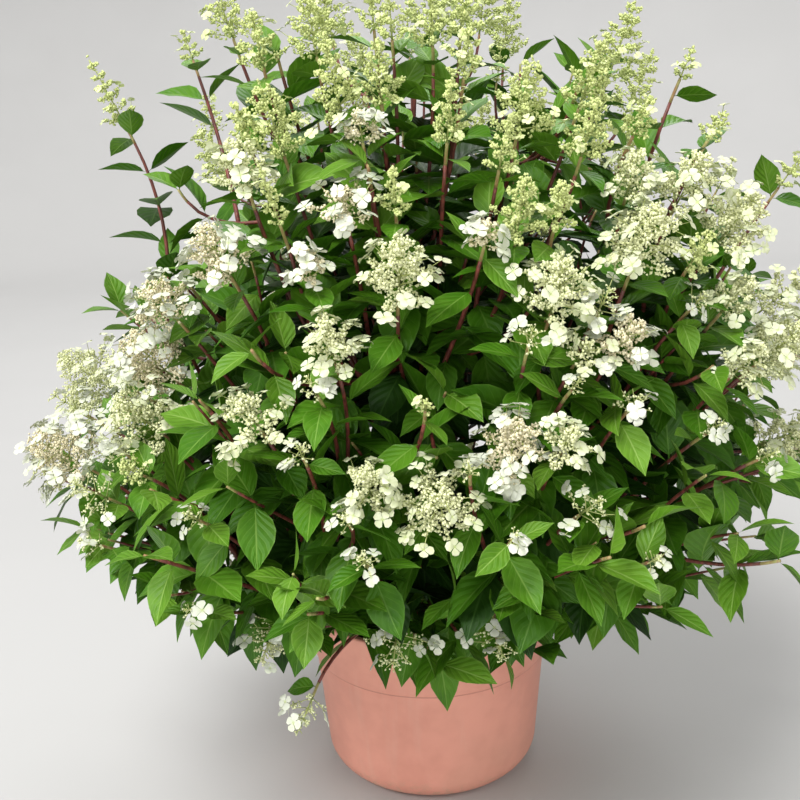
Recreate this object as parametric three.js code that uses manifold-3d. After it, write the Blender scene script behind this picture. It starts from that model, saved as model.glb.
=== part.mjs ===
// A panicle hydrangea in a round planter, in millimetres, +Z up.
// The origin is the middle of the planter's flat underside, and -Y is the side that the photograph shows.
// Canes rise from a low stool in the soil, side boughs leave them, and foliage and bloom end each one.
import * as THREE from 'three';
import { mergeVertices } from 'three/addons/utils/BufferGeometryUtils.js';
import Module from 'manifold-3d';

const wasm = await Module();
wasm.setup();

// Clearances
const FACE_GAP = 0.3;
const LIMB_CLEARANCE = 1.5;
const CELL_MARGIN = 0.6;
const SMALLEST_STEP = 0.3;

// Planter: a body that tapers down to a round bottom edge, under a tall band
const POT = {
  height: 392,
  bandFoot: 276,
  bandFootRadius: 263.5,
  rimRadius: 270,
  rimRounding: 5,
  rimWidth: 16,
  bodyTopRadius: 260,
  bodyFootRadius: 241,
  footRounding: 59,
  wall: 8,
  floor: 9,
  segments: 36,
};
const ROUNDING_STEPS = 4;

// Soil: level round the stool, falling a little to the wall
const SOIL = { middleHeight: 350, middleRadius: 90, edgeHeight: 336 };

// Stool: the knuckle that all canes rise from, with its root flare
const STOOL = { flareRadius: 64, waistRadius: 46, crownRadius: 40, height: 84, segments: 14 };

// Crown: the surface that the tips of the shoots reach, seen from a point inside it. Its underside draws in
// to the pot, and hangs less far on the front. The -X side is a little narrower, most of all at its shoulder.
const CROWN = {
  heart: 720, spread: 880, rise: 1110, drop: 360, frontDrop: 250, squareness: 2.2, underSquareness: 1.4,
  sideDraw: 0.05, shoulderDraw: 0.15,
};

// Canes and boughs, tier by tier, with angles in degrees and shares of the way from the heart to the surface
const SECTORS = 7;
const TIERS = [
  {
    name: 'top', count: 5, turn: 18, elevation: 66, tipShare: 0.5, massShare: 0.72,
    footRadius: 9, tipRadius: 6, from: 'stool top', ringRadius: 25, lift: 0.55,
  },
  {
    name: 'upper', count: SECTORS, turn: -90, elevation: 34, tipShare: 0.48, massShare: 0.72,
    footRadius: 11.5, tipRadius: 6.5, from: 'stool side', lift: 0.28,
  },
  {
    name: 'middle', count: SECTORS, turn: -64.3, elevation: 3, tipShare: 0.5, massShare: 0.72,
    footRadius: 8.5, tipRadius: 6, from: 'upper', branchShare: 0.36, lift: 0.12,
  },
  {
    name: 'skirt', count: SECTORS, turn: -90, elevation: -22, tipShare: 0.66, massShare: 0.82,
    footRadius: 8, tipRadius: 6, from: 'upper', branchShare: 0.15, lift: 0.1,
  },
];
const LEADER = {
  name: 'leader', count: 1, turn: 0, elevation: 90, tipShare: 0.55, massShare: 0.75,
  footRadius: 9, tipRadius: 6, from: 'stool top', ringRadius: 0, lift: 0.5,
};
const AZIMUTH_JITTER = 5;
const ELEVATION_JITTER = 3;
const STOOL_SIDE_SHARE = 0.55;
const BOUGH_SIDES = 5;
const BOUGH_STEPS = 4;

// Shoots: their tips are spread evenly over the crown by the golden angle
const SHOOTS = 88;
const LOWEST_SHOOT = -40;
const GOLDEN_ANGLE = 137.508;
const SHOOT = {
  shortest: 0.93, footRadius: 4.8, tipRadius: 4, steps: 3, sides: 3,
  levelTilt: 27, tiltPerDegree: 0.72, bend: 0.5, firstStem: 0.25, lastStem: 0.95,
};
const FOOT_SHIFTS = [0, 0.35, -0.35, 0.7, -0.7];
const TIP_PULLS = [0, 0.08, 0.16, 0.24, 0.32];
const STEM_SIDES = 5;
const STEM_END_RADIUS = 6;
const STEM_STEPS = 2;
const STEM_END_SHARE = 0.7;

// Leaves: opposite pairs, each pair turned a quarter from the last, and none hangs below a height
const LEAF = {
  length: 235, widthShare: 0.58, thickness: 3.8, widestShare: 0.42, fold: 0.05, tipDrop: 0.14,
  rootDepth: 1.2, spread: 58, droop: 0.5, lowest: 300,
};
const LEAF_PAIRS = [
  { share: 0.34, size: 1.12 },
  { share: 0.64, size: 1 },
  { share: 0.92, size: 0.74 },
];
const LEAF_TURNS = [0, 24, -24, 50, -50];
const LEAF_SIZES = [1, 0.8, 0.62];

// Panicles: cones of bloom on the tips, and every so many shoots below the top stay leafy
const PANICLE = {
  length: 190, radius: 62, lowestShare: 0.62, sunk: 12, segments: 6, leafyEvery: 5, leafyBelow: 1050,
};
const PANICLE_PROFILE = [[0, 0], [1, 0.36], [0.66, 0.76], [0, 1]];

// Colours
const TERRACOTTA = new THREE.MeshStandardMaterial({ color: 0xc98872, roughness: 0.7, metalness: 0 });
const EARTH = new THREE.MeshStandardMaterial({ color: 0x2e2119, roughness: 0.95, metalness: 0 });
const OLD_BARK = new THREE.MeshStandardMaterial({ color: 0x6b4b38, roughness: 0.85, metalness: 0 });
const CANE_BARK = new THREE.MeshStandardMaterial({ color: 0x5c2a22, roughness: 0.6, metalness: 0 });
const FOLIAGE = new THREE.MeshStandardMaterial({ color: 0x4f8a35, roughness: 0.55, metalness: 0 });

const UP = new THREE.Vector3(0, 0, 1);
const rad = THREE.MathUtils.degToRad;

// Seeded random numbers from 0 to 1, the same on every run
function seeded(seed) {
  let state = seed >>> 0;
  return () => {
    state = (state + 0x6d2b79f5) >>> 0;
    let mixed = Math.imul(state ^ (state >>> 15), 1 | state);
    mixed = (mixed + Math.imul(mixed ^ (mixed >>> 7), 61 | mixed)) ^ mixed;
    return ((mixed ^ (mixed >>> 14)) >>> 0) / 4294967296;
  };
}

// A number within reach of zero, from a random share
function swing(share, reach) {
  return (2 * share - 1) * reach;
}

// A closed geometry as a solid that can be joined and cut
function solidOf(geometry) {
  const bare = new THREE.BufferGeometry().setAttribute('position', geometry.getAttribute('position'));
  if (geometry.index) bare.setIndex(geometry.index);
  const merged = mergeVertices(bare, 1e-3);
  return new wasm.Manifold(new wasm.Mesh({
    numProp: 3,
    vertProperties: new Float32Array(merged.attributes.position.array),
    triVerts: new Uint32Array(merged.index.array),
  }));
}

// A solid as a geometry with flat faces
function geometryOf(solid) {
  const mesh = solid.getMesh();
  const places = new Float32Array(mesh.numVert * 3);
  for (let i = 0; i < mesh.numVert; i++) {
    places.set(mesh.vertProperties.subarray(i * mesh.numProp, i * mesh.numProp + 3), i * 3);
  }
  const geometry = new THREE.BufferGeometry();
  geometry.setAttribute('position', new THREE.BufferAttribute(places, 3));
  geometry.setIndex(new THREE.BufferAttribute(mesh.triVerts, 1));
  const flat = geometry.toNonIndexed();
  flat.computeVertexNormals();
  return flat;
}

// A lathed form about +Z, from pairs of radius and height that start and end on the axis
function turned(profile, segments) {
  const points = profile.map(([radius, height]) => new THREE.Vector2(radius, height));
  return new THREE.LatheGeometry(points, segments).rotateX(Math.PI / 2);
}

// Points on a quarter circle of a profile, from one angle to another
function arc(centreRadius, centreHeight, radius, fromAngle, toAngle, steps) {
  return Array.from({ length: steps + 1 }, (_, i) => {
    const angle = rad(fromAngle + ((toAngle - fromAngle) * i) / steps);
    return [centreRadius + radius * Math.cos(angle), centreHeight + radius * Math.sin(angle)];
  });
}

function potOutside() {
  return [
    [0, 0],
    ...arc(POT.bodyFootRadius - POT.footRounding, POT.footRounding, POT.footRounding, -90, 0, ROUNDING_STEPS),
    [POT.bodyTopRadius, POT.bandFoot],
    [POT.bandFootRadius, POT.bandFoot],
    ...arc(POT.rimRadius - POT.rimRounding, POT.height - POT.rimRounding, POT.rimRounding, 0, 90, 2),
  ];
}

// The inner wall, from the rim down to the floor, drawn in by a gap for the soil that fills it
function potInside(gap) {
  const footRadius = POT.footRounding - POT.wall;
  return [
    [POT.rimRadius - POT.rimWidth - gap, POT.height],
    [POT.bodyTopRadius - POT.wall - gap, POT.bandFoot],
    ...arc(
      POT.bodyFootRadius - POT.footRounding, POT.floor + footRadius, footRadius - gap, 0, -90, ROUNDING_STEPS,
    ),
    [0, POT.floor + gap],
  ];
}

function potGeometry() {
  return turned([...potOutside(), ...potInside(0)], POT.segments);
}

function soilGeometry() {
  const [rim, bandFoot, ...below] = potInside(FACE_GAP);
  const share = (SOIL.edgeHeight - POT.bandFoot) / (POT.height - POT.bandFoot);
  const edgeRadius = THREE.MathUtils.lerp(bandFoot[0], rim[0], share);
  const wallDown = [[edgeRadius, SOIL.edgeHeight], bandFoot, ...below];
  const top = [[SOIL.middleRadius, SOIL.middleHeight], [0, SOIL.middleHeight]];
  return turned([...wallDown.reverse(), ...top], POT.segments);
}

const STOOL_FOOT = SOIL.middleHeight + FACE_GAP;
const STOOL_TOP = STOOL_FOOT + STOOL.height;

function stoolGeometry(grown) {
  return turned([
    [0, STOOL_FOOT],
    [STOOL.flareRadius + grown, STOOL_FOOT],
    [STOOL.waistRadius + grown + 5, STOOL_FOOT + 0.2 * STOOL.height],
    [STOOL.waistRadius + grown, STOOL_FOOT + 0.45 * STOOL.height],
    [STOOL.waistRadius + grown, STOOL_FOOT + 0.75 * STOOL.height],
    [STOOL.crownRadius + grown, STOOL_TOP + grown],
    [0, STOOL_TOP + grown],
  ], STOOL.segments);
}

// How far the crown reaches below its heart at an azimuth
function crownDrop(azimuth) {
  const front = THREE.MathUtils.smoothstep(-Math.sin(rad(azimuth)), 0.6, 0.95);
  return THREE.MathUtils.lerp(CROWN.drop, CROWN.frontDrop, front);
}

// The share by which the crown is drawn in on its -X side, with its shoulder
function crownDraw(azimuth, elevation) {
  const { smoothstep } = THREE.MathUtils;
  const side = smoothstep(-Math.cos(rad(azimuth)), 0.35, 0.85);
  const shoulder = smoothstep(elevation, 5, 22) * (1 - smoothstep(elevation, 45, 65));
  return side * (CROWN.sideDraw + CROWN.shoulderDraw * shoulder);
}

// Distance from the heart of the crown to its surface: two half ellipsoids, a little squared
function crownRadius(azimuth, elevation) {
  const above = elevation > 0;
  const squareness = above ? CROWN.squareness : CROWN.underSquareness;
  const across = Math.abs(Math.cos(rad(elevation))) / CROWN.spread;
  const along = Math.abs(Math.sin(rad(elevation))) / (above ? CROWN.rise : crownDrop(azimuth));
  const reach = (across ** squareness + along ** squareness) ** (-1 / squareness);
  return reach * (1 - crownDraw(azimuth, elevation));
}

function crownPoint(azimuth, elevation, share) {
  const reach = crownRadius(azimuth, elevation) * share;
  return new THREE.Vector3(
    reach * Math.cos(rad(elevation)) * Math.cos(rad(azimuth)),
    reach * Math.cos(rad(elevation)) * Math.sin(rad(azimuth)),
    CROWN.heart + reach * Math.sin(rad(elevation)),
  );
}

// A closed tapering limb along a curve, with flat ends
function limbGeometry(curve, footRadius, tipRadius, sides, steps) {
  const { normals, binormals } = curve.computeFrenetFrames(steps, false);
  const places = [];
  for (let i = 0; i <= steps; i++) {
    const centre = curve.getPointAt(i / steps);
    const radius = THREE.MathUtils.lerp(footRadius, tipRadius, i / steps);
    for (let j = 0; j < sides; j++) {
      const angle = (2 * Math.PI * j) / sides;
      const point = centre.clone()
        .addScaledVector(normals[i], radius * Math.cos(angle))
        .addScaledVector(binormals[i], radius * Math.sin(angle));
      places.push(point.x, point.y, point.z);
    }
  }
  const faces = [];
  for (let i = 0; i < steps; i++) {
    for (let j = 0; j < sides; j++) {
      const a = i * sides + j;
      const b = i * sides + ((j + 1) % sides);
      faces.push(a, b, b + sides, a, b + sides, a + sides);
    }
  }
  const last = steps * sides;
  for (let j = 1; j < sides - 1; j++) {
    faces.push(0, j + 1, j, last, last + j, last + j + 1);
  }
  const geometry = new THREE.BufferGeometry();
  geometry.setAttribute('position', new THREE.Float32BufferAttribute(places, 3));
  geometry.setIndex(faces);
  return geometry;
}

// The curve of a cane or bough: it leaves its foot along one direction and sags or rises to its tip
function boughCurve(foot, direction, tip, lift) {
  const span = foot.distanceTo(tip);
  const bend = foot.clone().addScaledVector(direction, 0.4 * span);
  bend.z += lift * 0.3 * span;
  return new THREE.QuadraticBezierCurve3(foot, bend, tip);
}

// Where a cane leaves the stool, as a point just inside it and a direction
function stoolFoot(tier, azimuth) {
  const outward = new THREE.Vector3(Math.cos(rad(azimuth)), Math.sin(rad(azimuth)), 0);
  if (tier.from === 'stool top') {
    const foot = outward.clone().multiplyScalar(tier.ringRadius);
    foot.z = STOOL_TOP - 12;
    return { foot, direction: outward.clone().multiplyScalar(0.12).add(UP).normalize() };
  }
  const foot = outward.clone().multiplyScalar(STOOL.waistRadius - 12);
  foot.z = STOOL_FOOT + STOOL_SIDE_SHARE * STOOL.height;
  return { foot, direction: outward.clone().add(UP.clone().multiplyScalar(0.75)).normalize() };
}

// Every cane and bough with its mass: names, curve, radii, and the middle of the mass's space
function planBoughs() {
  const random = seeded(41);
  const plans = [];
  for (const tier of [LEADER, ...TIERS]) {
    for (let i = 0; i < tier.count; i++) {
      const azimuth = tier.turn + (360 * i) / tier.count + swing(random(), AZIMUTH_JITTER);
      const elevation = tier.elevation + (tier === LEADER ? 0 : swing(random(), ELEVATION_JITTER));
      const tip = crownPoint(azimuth, elevation, tier.tipShare);
      const parent = plans.find((plan) => plan.name === `bough_${tier.from}_${i + 1}`);
      let foot;
      let direction;
      if (parent) {
        foot = onLimb(parent.curve, BOUGH_STEPS, tier.branchShare);
        direction = tip.clone().sub(foot).setZ(0).normalize();
        direction.addScaledVector(UP, 0.35).normalize();
      } else {
        ({ foot, direction } = stoolFoot(tier, azimuth));
      }
      plans.push({
        name: tier === LEADER ? 'cane_leader' : `bough_${tier.name}_${i + 1}`,
        massName: tier === LEADER ? 'foliage_leader' : `foliage_${tier.name}_${i + 1}`,
        tier,
        parent,
        curve: boughCurve(foot, direction, tip, tier.lift),
        heart: crownPoint(azimuth, elevation, tier.massShare),
      });
    }
  }
  return plans;
}

// The tip, end direction and bloom of every shoot, spread over the crown's surface
function planShoots() {
  const random = seeded(7);
  const lowest = Math.sin(rad(LOWEST_SHOOT));
  return Array.from({ length: SHOOTS }, (_, i) => {
    const height = 1 - ((i + 0.5) / SHOOTS) * (1 - lowest);
    const elevation = THREE.MathUtils.radToDeg(Math.asin(height));
    const azimuth = (i * GOLDEN_ANGLE) % 360;
    const share = THREE.MathUtils.lerp(SHOOT.shortest, 1, random());
    const tilt = rad(Math.min(88, SHOOT.levelTilt + SHOOT.tiltPerDegree * elevation));
    const direction = new THREE.Vector3(
      Math.cos(tilt) * Math.cos(rad(azimuth)),
      Math.cos(tilt) * Math.sin(rad(azimuth)),
      Math.sin(tilt),
    );
    const tip = crownPoint(azimuth, elevation, share);
    const leafy = i % PANICLE.leafyEvery === 0 && tip.z < PANICLE.leafyBelow;
    const size = THREE.MathUtils.lerp(PANICLE.lowestShare, 1, THREE.MathUtils.smoothstep(tip.z, 300, 1200));
    return { tip, direction, size: leafy ? 0 : size, turn: 360 * random() };
  });
}

// The plan whose space a point lies in: the one with the nearest heart
function ownerOf(point, plans) {
  return plans.reduce((best, plan) => (
    plan.heart.distanceToSquared(point) < best.heart.distanceToSquared(point) ? plan : best
  ));
}

// Whether all of a geometry's corners keep to a plan's space, which is convex
function staysInside(geometry, plan, plans) {
  const places = geometry.getAttribute('position');
  const point = new THREE.Vector3();
  const middle = new THREE.Vector3();
  const across = new THREE.Vector3();
  return plans.every((other) => {
    if (other === plan) return true;
    middle.addVectors(plan.heart, other.heart).multiplyScalar(0.5);
    across.subVectors(other.heart, plan.heart).normalize();
    for (let i = 0; i < places.count; i++) {
      point.fromBufferAttribute(places, i).sub(middle);
      if (point.dot(across) > -CELL_MARGIN) return false;
    }
    return true;
  });
}

// A leaf of eight faces: pointed at both ends, folded along its midrib, its tip hanging
function leafGeometry(root, direction, length) {
  const along = direction.clone();
  const side = new THREE.Vector3().crossVectors(UP, along).normalize();
  const over = new THREE.Vector3().crossVectors(along, side);
  const place = (x, y, z) => root.clone()
    .addScaledVector(along, x).addScaledVector(side, y).addScaledVector(over, z);
  const half = (length * LEAF.widthShare) / 2;
  const widest = length * LEAF.widestShare;
  const rise = length * LEAF.fold;
  const corners = [
    place(-LEAF.rootDepth, 0, 0),
    place(length, 0, -length * LEAF.tipDrop),
    place(widest, half, rise),
    place(widest, -half, rise),
    place(widest, 0, LEAF.thickness / 2),
    place(widest, 0, -LEAF.thickness / 2),
  ];
  const geometry = new THREE.BufferGeometry().setFromPoints(corners);
  geometry.setIndex([0, 4, 2, 0, 3, 4, 1, 2, 4, 1, 4, 3, 0, 2, 5, 0, 5, 3, 1, 5, 2, 1, 3, 5]);
  return geometry;
}

// A cone of bloom from its root along a direction
function panicleGeometry(root, direction, size) {
  const length = PANICLE.length * size + PANICLE.sunk;
  const profile = PANICLE_PROFILE.map(([radius, height]) => [radius * PANICLE.radius * size, height * length]);
  const turn = new THREE.Quaternion().setFromUnitVectors(UP, direction);
  const foot = root.clone().addScaledVector(direction, -PANICLE.sunk);
  return turned(profile, PANICLE.segments).applyQuaternion(turn).translate(foot.x, foot.y, foot.z);
}

// The leaf at one side of a node of a shoot, in the first size and turn that fit its space, or nothing
function fitLeaf(point, tangent, angle, size, fits) {
  const side = new THREE.Vector3().crossVectors(tangent, UP);
  if (side.length() < 0.05) side.set(1, 0, 0);
  side.normalize();
  for (const shrink of LEAF_SIZES) {
    for (const turn of LEAF_TURNS) {
      const outward = side.clone().applyAxisAngle(tangent, rad(angle + turn));
      const direction = tangent.clone().multiplyScalar(Math.cos(rad(LEAF.spread)))
        .addScaledVector(outward, Math.sin(rad(LEAF.spread)));
      direction.z -= LEAF.droop * (1 - Math.abs(direction.z));
      direction.normalize();
      const geometry = leafGeometry(point, direction, LEAF.length * size * shrink);
      const solid = solidOf(geometry);
      if (solid.boundingBox().min[2] > LEAF.lowest && fits(solid, geometry)) return solid;
    }
  }
  return null;
}

// The largest body of a solid: loose scraps go, and a hollow sealed by joining is filled
function oneBody(solid) {
  return solid.decompose().reduce((best, body) => (body.volume() > best.volume() ? body : best));
}

// The stem of a mass: from just beyond the bough's tip most of the way to the middle of the mass
function stemCurve(plan) {
  const boughTip = plan.curve.getPointAt(1);
  const heading = plan.curve.getTangentAt(1);
  const foot = boughTip.clone().addScaledVector(heading, FACE_GAP);
  const end = boughTip.clone().lerp(plan.heart, STEM_END_SHARE);
  const bend = foot.clone().addScaledVector(heading, 0.5 * foot.distanceTo(end));
  return new THREE.QuadraticBezierCurve3(foot, bend, end);
}

// The curve of a shoot's twig, which leaves room for its bloom below the tip
function twigCurve(foot, tip, shoot) {
  const end = tip.clone().addScaledVector(shoot.direction, -shoot.size * PANICLE.length);
  const bend = end.clone().addScaledVector(shoot.direction, -SHOOT.bend * foot.distanceTo(end));
  return new THREE.QuadraticBezierCurve3(foot, bend, end);
}

// A point on the middle line of a limb of flat-sided lengths
function onLimb(curve, steps, share) {
  const step = Math.min(Math.floor(share * steps), steps - 1);
  return curve.getPointAt(step / steps).lerp(curve.getPointAt((step + 1) / steps), share * steps - step);
}

// A twig and its bloom, from the first foot on the stem and the first pull of its tip that let both pass
function fitBranch(shoot, plan, stemLine, share, fits) {
  for (const pull of TIP_PULLS) {
    const tip = shoot.tip.clone().lerp(plan.heart, pull);
    for (const shift of FOOT_SHIFTS) {
      const along = THREE.MathUtils.clamp(share + shift, 0, 1);
      const foot = onLimb(stemLine, STEM_STEPS, THREE.MathUtils.lerp(SHOOT.firstStem, SHOOT.lastStem, along));
      const curve = twigCurve(foot, tip, shoot);
      const twig = limbGeometry(curve, SHOOT.footRadius, SHOOT.tipRadius, SHOOT.sides, SHOOT.steps);
      const wood = solidOf(twig);
      if (!fits(wood, twig)) continue;
      if (shoot.size === 0) return { curve, turn: shoot.turn, wood, bloom: [] };
      const cone = panicleGeometry(curve.getPointAt(1), curve.getTangentAt(1), shoot.size);
      const bloom = solidOf(cone);
      if (fits(bloom, cone)) return { curve, turn: shoot.turn, wood, bloom: [bloom] };
    }
  }
  return null;
}

// One mass of foliage: a stem, twigs with bloom on their tips, and leaves that keep clear of each other
function massSolid(plan, plans, shoots, obstacles) {
  const fits = (solid, geometry, others) => (
    staysInside(geometry, plan, plans)
    && solid.intersect(obstacles).isEmpty()
    && others.every((other) => solid.intersect(other).isEmpty())
  );
  const stemLine = stemCurve(plan);
  const stem = solidOf(
    limbGeometry(stemLine, plan.tier.tipRadius, STEM_END_RADIUS, STEM_SIDES, STEM_STEPS),
  );
  const branches = [];
  shoots.forEach((shoot, i) => {
    const blooms = branches.flatMap((other) => other.bloom);
    const branch = fitBranch(shoot, plan, stemLine, (i + 0.5) / shoots.length, (solid, geometry) => (
      fits(solid, geometry, blooms)
    ));
    if (branch) branches.push(branch);
  });
  const leaves = [];
  for (const branch of branches) {
    const others = branches.filter((other) => other !== branch).flatMap((other) => [other.wood, ...other.bloom]);
    const room = [...others, ...branch.bloom];
    LEAF_PAIRS.forEach(({ share, size }, pair) => {
      const point = onLimb(branch.curve, SHOOT.steps, share);
      const tangent = branch.curve.getTangentAt(share);
      const taken = [...room, ...leaves];
      for (const half of [0, 180]) {
        const angle = branch.turn + 90 * pair + half;
        const leaf = fitLeaf(point, tangent, angle, size, (solid, geometry) => (
          fits(solid, geometry, taken)
        ));
        if (leaf) leaves.push(leaf);
      }
    });
  }
  const solids = [stem, ...branches.flatMap((branch) => [branch.wood, ...branch.bloom]), ...leaves];
  return oneBody(wasm.Manifold.union(solids).simplify(SMALLEST_STEP));
}

function named(name, geometry, material) {
  const mesh = new THREE.Mesh(geometry, material);
  mesh.name = name;
  return mesh;
}

function boughSolid(plan, grown) {
  const { footRadius, tipRadius } = plan.tier;
  return solidOf(limbGeometry(plan.curve, footRadius + grown, tipRadius + grown, BOUGH_SIDES, BOUGH_STEPS));
}

const shrub = new THREE.Group();
shrub.add(named('planter', potGeometry(), TERRACOTTA));
shrub.add(named('soil', soilGeometry(), EARTH));
shrub.add(named('stool', stoolGeometry(0), OLD_BARK));

const plans = planBoughs();
const stoolCutter = solidOf(stoolGeometry(FACE_GAP));
for (const plan of plans) {
  const cutter = plan.parent ? boughSolid(plan.parent, FACE_GAP) : stoolCutter;
  shrub.add(named(plan.name, geometryOf(oneBody(boughSolid(plan, 0).subtract(cutter))), CANE_BARK));
}

const potKeepOut = turned([...potOutside(), [0, POT.height]], POT.segments).scale(1.03, 1.03, 1.02);
const obstacles = plans.reduce(
  (all, plan) => all.add(boughSolid(plan, LIMB_CLEARANCE)),
  solidOf(potKeepOut).add(solidOf(stoolGeometry(LIMB_CLEARANCE))),
);
const shoots = planShoots();
for (const plan of plans) {
  const own = shoots.filter((shoot) => ownerOf(shoot.tip, plans) === plan);
  shrub.add(named(plan.massName, geometryOf(massSolid(plan, plans, own, obstacles)), FOLIAGE));
}

export default shrub;
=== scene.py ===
"""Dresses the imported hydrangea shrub: planter, compost, wood, leaves and bloom, in a studio with a camera."""

import sys

import logging
import math
from dataclasses import dataclass, field, replace
from enum import Enum
from typing import Iterable, Sequence

import bpy
import numpy as np
from mathutils import Matrix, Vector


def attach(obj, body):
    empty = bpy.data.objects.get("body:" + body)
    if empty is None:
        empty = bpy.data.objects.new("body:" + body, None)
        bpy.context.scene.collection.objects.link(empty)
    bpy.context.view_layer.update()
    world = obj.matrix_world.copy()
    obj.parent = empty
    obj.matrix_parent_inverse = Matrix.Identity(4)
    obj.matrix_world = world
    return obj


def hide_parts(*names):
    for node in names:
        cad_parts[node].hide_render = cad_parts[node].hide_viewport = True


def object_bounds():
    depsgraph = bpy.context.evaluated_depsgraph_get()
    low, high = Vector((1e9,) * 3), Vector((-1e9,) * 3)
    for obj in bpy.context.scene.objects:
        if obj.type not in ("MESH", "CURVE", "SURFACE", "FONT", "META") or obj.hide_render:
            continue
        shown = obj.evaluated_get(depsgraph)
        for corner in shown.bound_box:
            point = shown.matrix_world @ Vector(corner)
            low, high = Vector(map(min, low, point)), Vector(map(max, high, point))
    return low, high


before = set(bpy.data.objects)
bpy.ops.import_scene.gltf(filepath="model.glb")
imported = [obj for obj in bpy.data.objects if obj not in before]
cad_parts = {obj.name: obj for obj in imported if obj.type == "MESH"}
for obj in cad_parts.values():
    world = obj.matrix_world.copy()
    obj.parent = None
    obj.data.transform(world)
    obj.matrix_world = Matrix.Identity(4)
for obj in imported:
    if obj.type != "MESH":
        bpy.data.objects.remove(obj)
CAD_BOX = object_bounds()

log = logging.getLogger("hydrangea")

Array = np.ndarray
Material, Mesh, Node, NodeTree = bpy.types.Material, bpy.types.Mesh, bpy.types.Node, bpy.types.NodeTree
Socket, Sockets = bpy.types.NodeSocket, bpy.types.bpy_prop_collection
Colour = tuple[float, float, float]
Pair = tuple[float, float]

MASK = 0xFFFFFFFF
UP = np.array([0.0, 0.0, 1.0])
GOLDEN_ANGLE = 137.508
PIECE_LIMIT = 185_000
IMAGE_SIZE = 800
BODY = "root"


class Dice:
    """Seeded random numbers from 0 to 1, the same run of them as the solids were grown from."""

    def __init__(self, seed: int) -> None:
        """Starts the run.

        Args:
            seed: any whole number.
        """
        self.state = seed & MASK

    def roll(self) -> float:
        """Takes the next number of the run.

        Returns:
            A number from 0 to 1.
        """
        self.state = (self.state + 0x6D2B79F5) & MASK
        mixed = ((self.state ^ (self.state >> 15)) * (1 | self.state)) & MASK
        mixed = ((mixed + (((mixed ^ (mixed >> 7)) * (61 | mixed)) & MASK)) ^ mixed) & MASK
        return (mixed ^ (mixed >> 14)) / (MASK + 1)

    def swing(self, reach: float) -> float:
        """Returns the next number, spread from -reach to reach."""
        return (2 * self.roll() - 1) * reach


def unit(vectors: Array) -> Array:
    """Returns vectors along the last axis, each divided by its length."""
    return vectors / np.maximum(np.linalg.norm(vectors, axis=-1, keepdims=True), 1e-9)


def ramp(value: Array | float, low: float, high: float) -> Array | float:
    """Returns a smooth rise from 0 at low to 1 at high: 3t² - 2t³ for the share t of the way."""
    share = np.clip((value - low) / (high - low), 0, 1)
    return share * share * (3 - 2 * share)


def mix(start: float | Array, end: float | Array, share: float | Array) -> Array:
    """Returns the value that lies a share of the way from start to end."""
    return start + (end - start) * share


def bend_path(foot: Array, bend: Array, tip: Array, count: int) -> Array:
    """Points at even distances on (1-t)²·foot + 2t(1-t)·bend + t²·tip.

    Args:
        foot: where the path starts.
        bend: the point that draws the path to its side.
        tip: where the path ends.
        count: how many points to give.

    Returns:
        An array of count points.
    """
    t = np.linspace(0, 1, 160)[:, None]
    points = (1 - t) ** 2 * foot + 2 * t * (1 - t) * bend + t**2 * tip
    along = np.concatenate([[0], np.cumsum(np.linalg.norm(np.diff(points, axis=0), axis=1))])
    wanted = np.linspace(0, along[-1], count)
    return np.stack([np.interp(wanted, along, points[:, axis]) for axis in range(3)], axis=1)


def on_path(path: Array, shares: Array | float) -> Array:
    """Returns points at shares, from 0 to 1, of the way along an evenly spaced path."""
    steps = np.linspace(0, 1, len(path))
    return np.stack([np.interp(shares, steps, path[:, axis]) for axis in range(3)], axis=-1)


def tangents(paths: Array) -> Array:
    """Returns the unit direction at each point of paths, from its neighbours."""
    return unit(np.gradient(paths, axis=-2))


def across(directions: Array) -> tuple[Array, Array]:
    """Two unit vectors at right angles to each direction and to each other.

    Args:
        directions: unit vectors.

    Returns:
        The level one, and the one that completes the frame.
    """
    helper = np.where(np.abs(directions[..., 2:]) > 0.97, np.array([1.0, 0.0, 0.0]), UP)
    side = unit(np.cross(helper, directions))
    return side, np.cross(directions, side)


def full_turn(count: int) -> Array:
    """Returns the angles of so many even steps round a circle, in radians."""
    return 2 * np.pi * np.arange(count) / count


def turned(side: Array, over: Array, angle: Array) -> Array:
    """Returns side·cos a + over·sin a for each angle a, in radians."""
    return side * np.cos(angle)[..., None] + over * np.sin(angle)[..., None]


def nearest(points: Array, wanted: Array) -> Array:
    """Returns the one of the points that lies nearest to a place."""
    return points[np.argmin(np.sum((points - wanted) ** 2, axis=1))]


def put_in_scene(name: str, data: bpy.types.ID) -> bpy.types.Object:
    """Makes an object of a mesh, light or camera.

    Args:
        name: the object's name.
        data: what it holds.

    Returns:
        The object, in the scene.
    """
    made = bpy.data.objects.new(name, data)
    bpy.context.scene.collection.objects.link(made)
    return made


def aim(thing: bpy.types.Object, place: Sequence[float], right: Array, up: Array, ahead: Array) -> None:
    """Places a camera or light and turns it.

    Args:
        thing: the camera or light.
        place: where it stands.
        right: the unit vector to its right.
        up: the unit vector above it.
        ahead: the unit vector in which it looks.
    """
    world = np.eye(4)
    world[:3, :3] = np.stack([right, up, -ahead], axis=1)
    world[:3, 3] = place
    thing.matrix_world = Matrix(world.tolist())


# Shapes gathered into meshes


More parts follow.
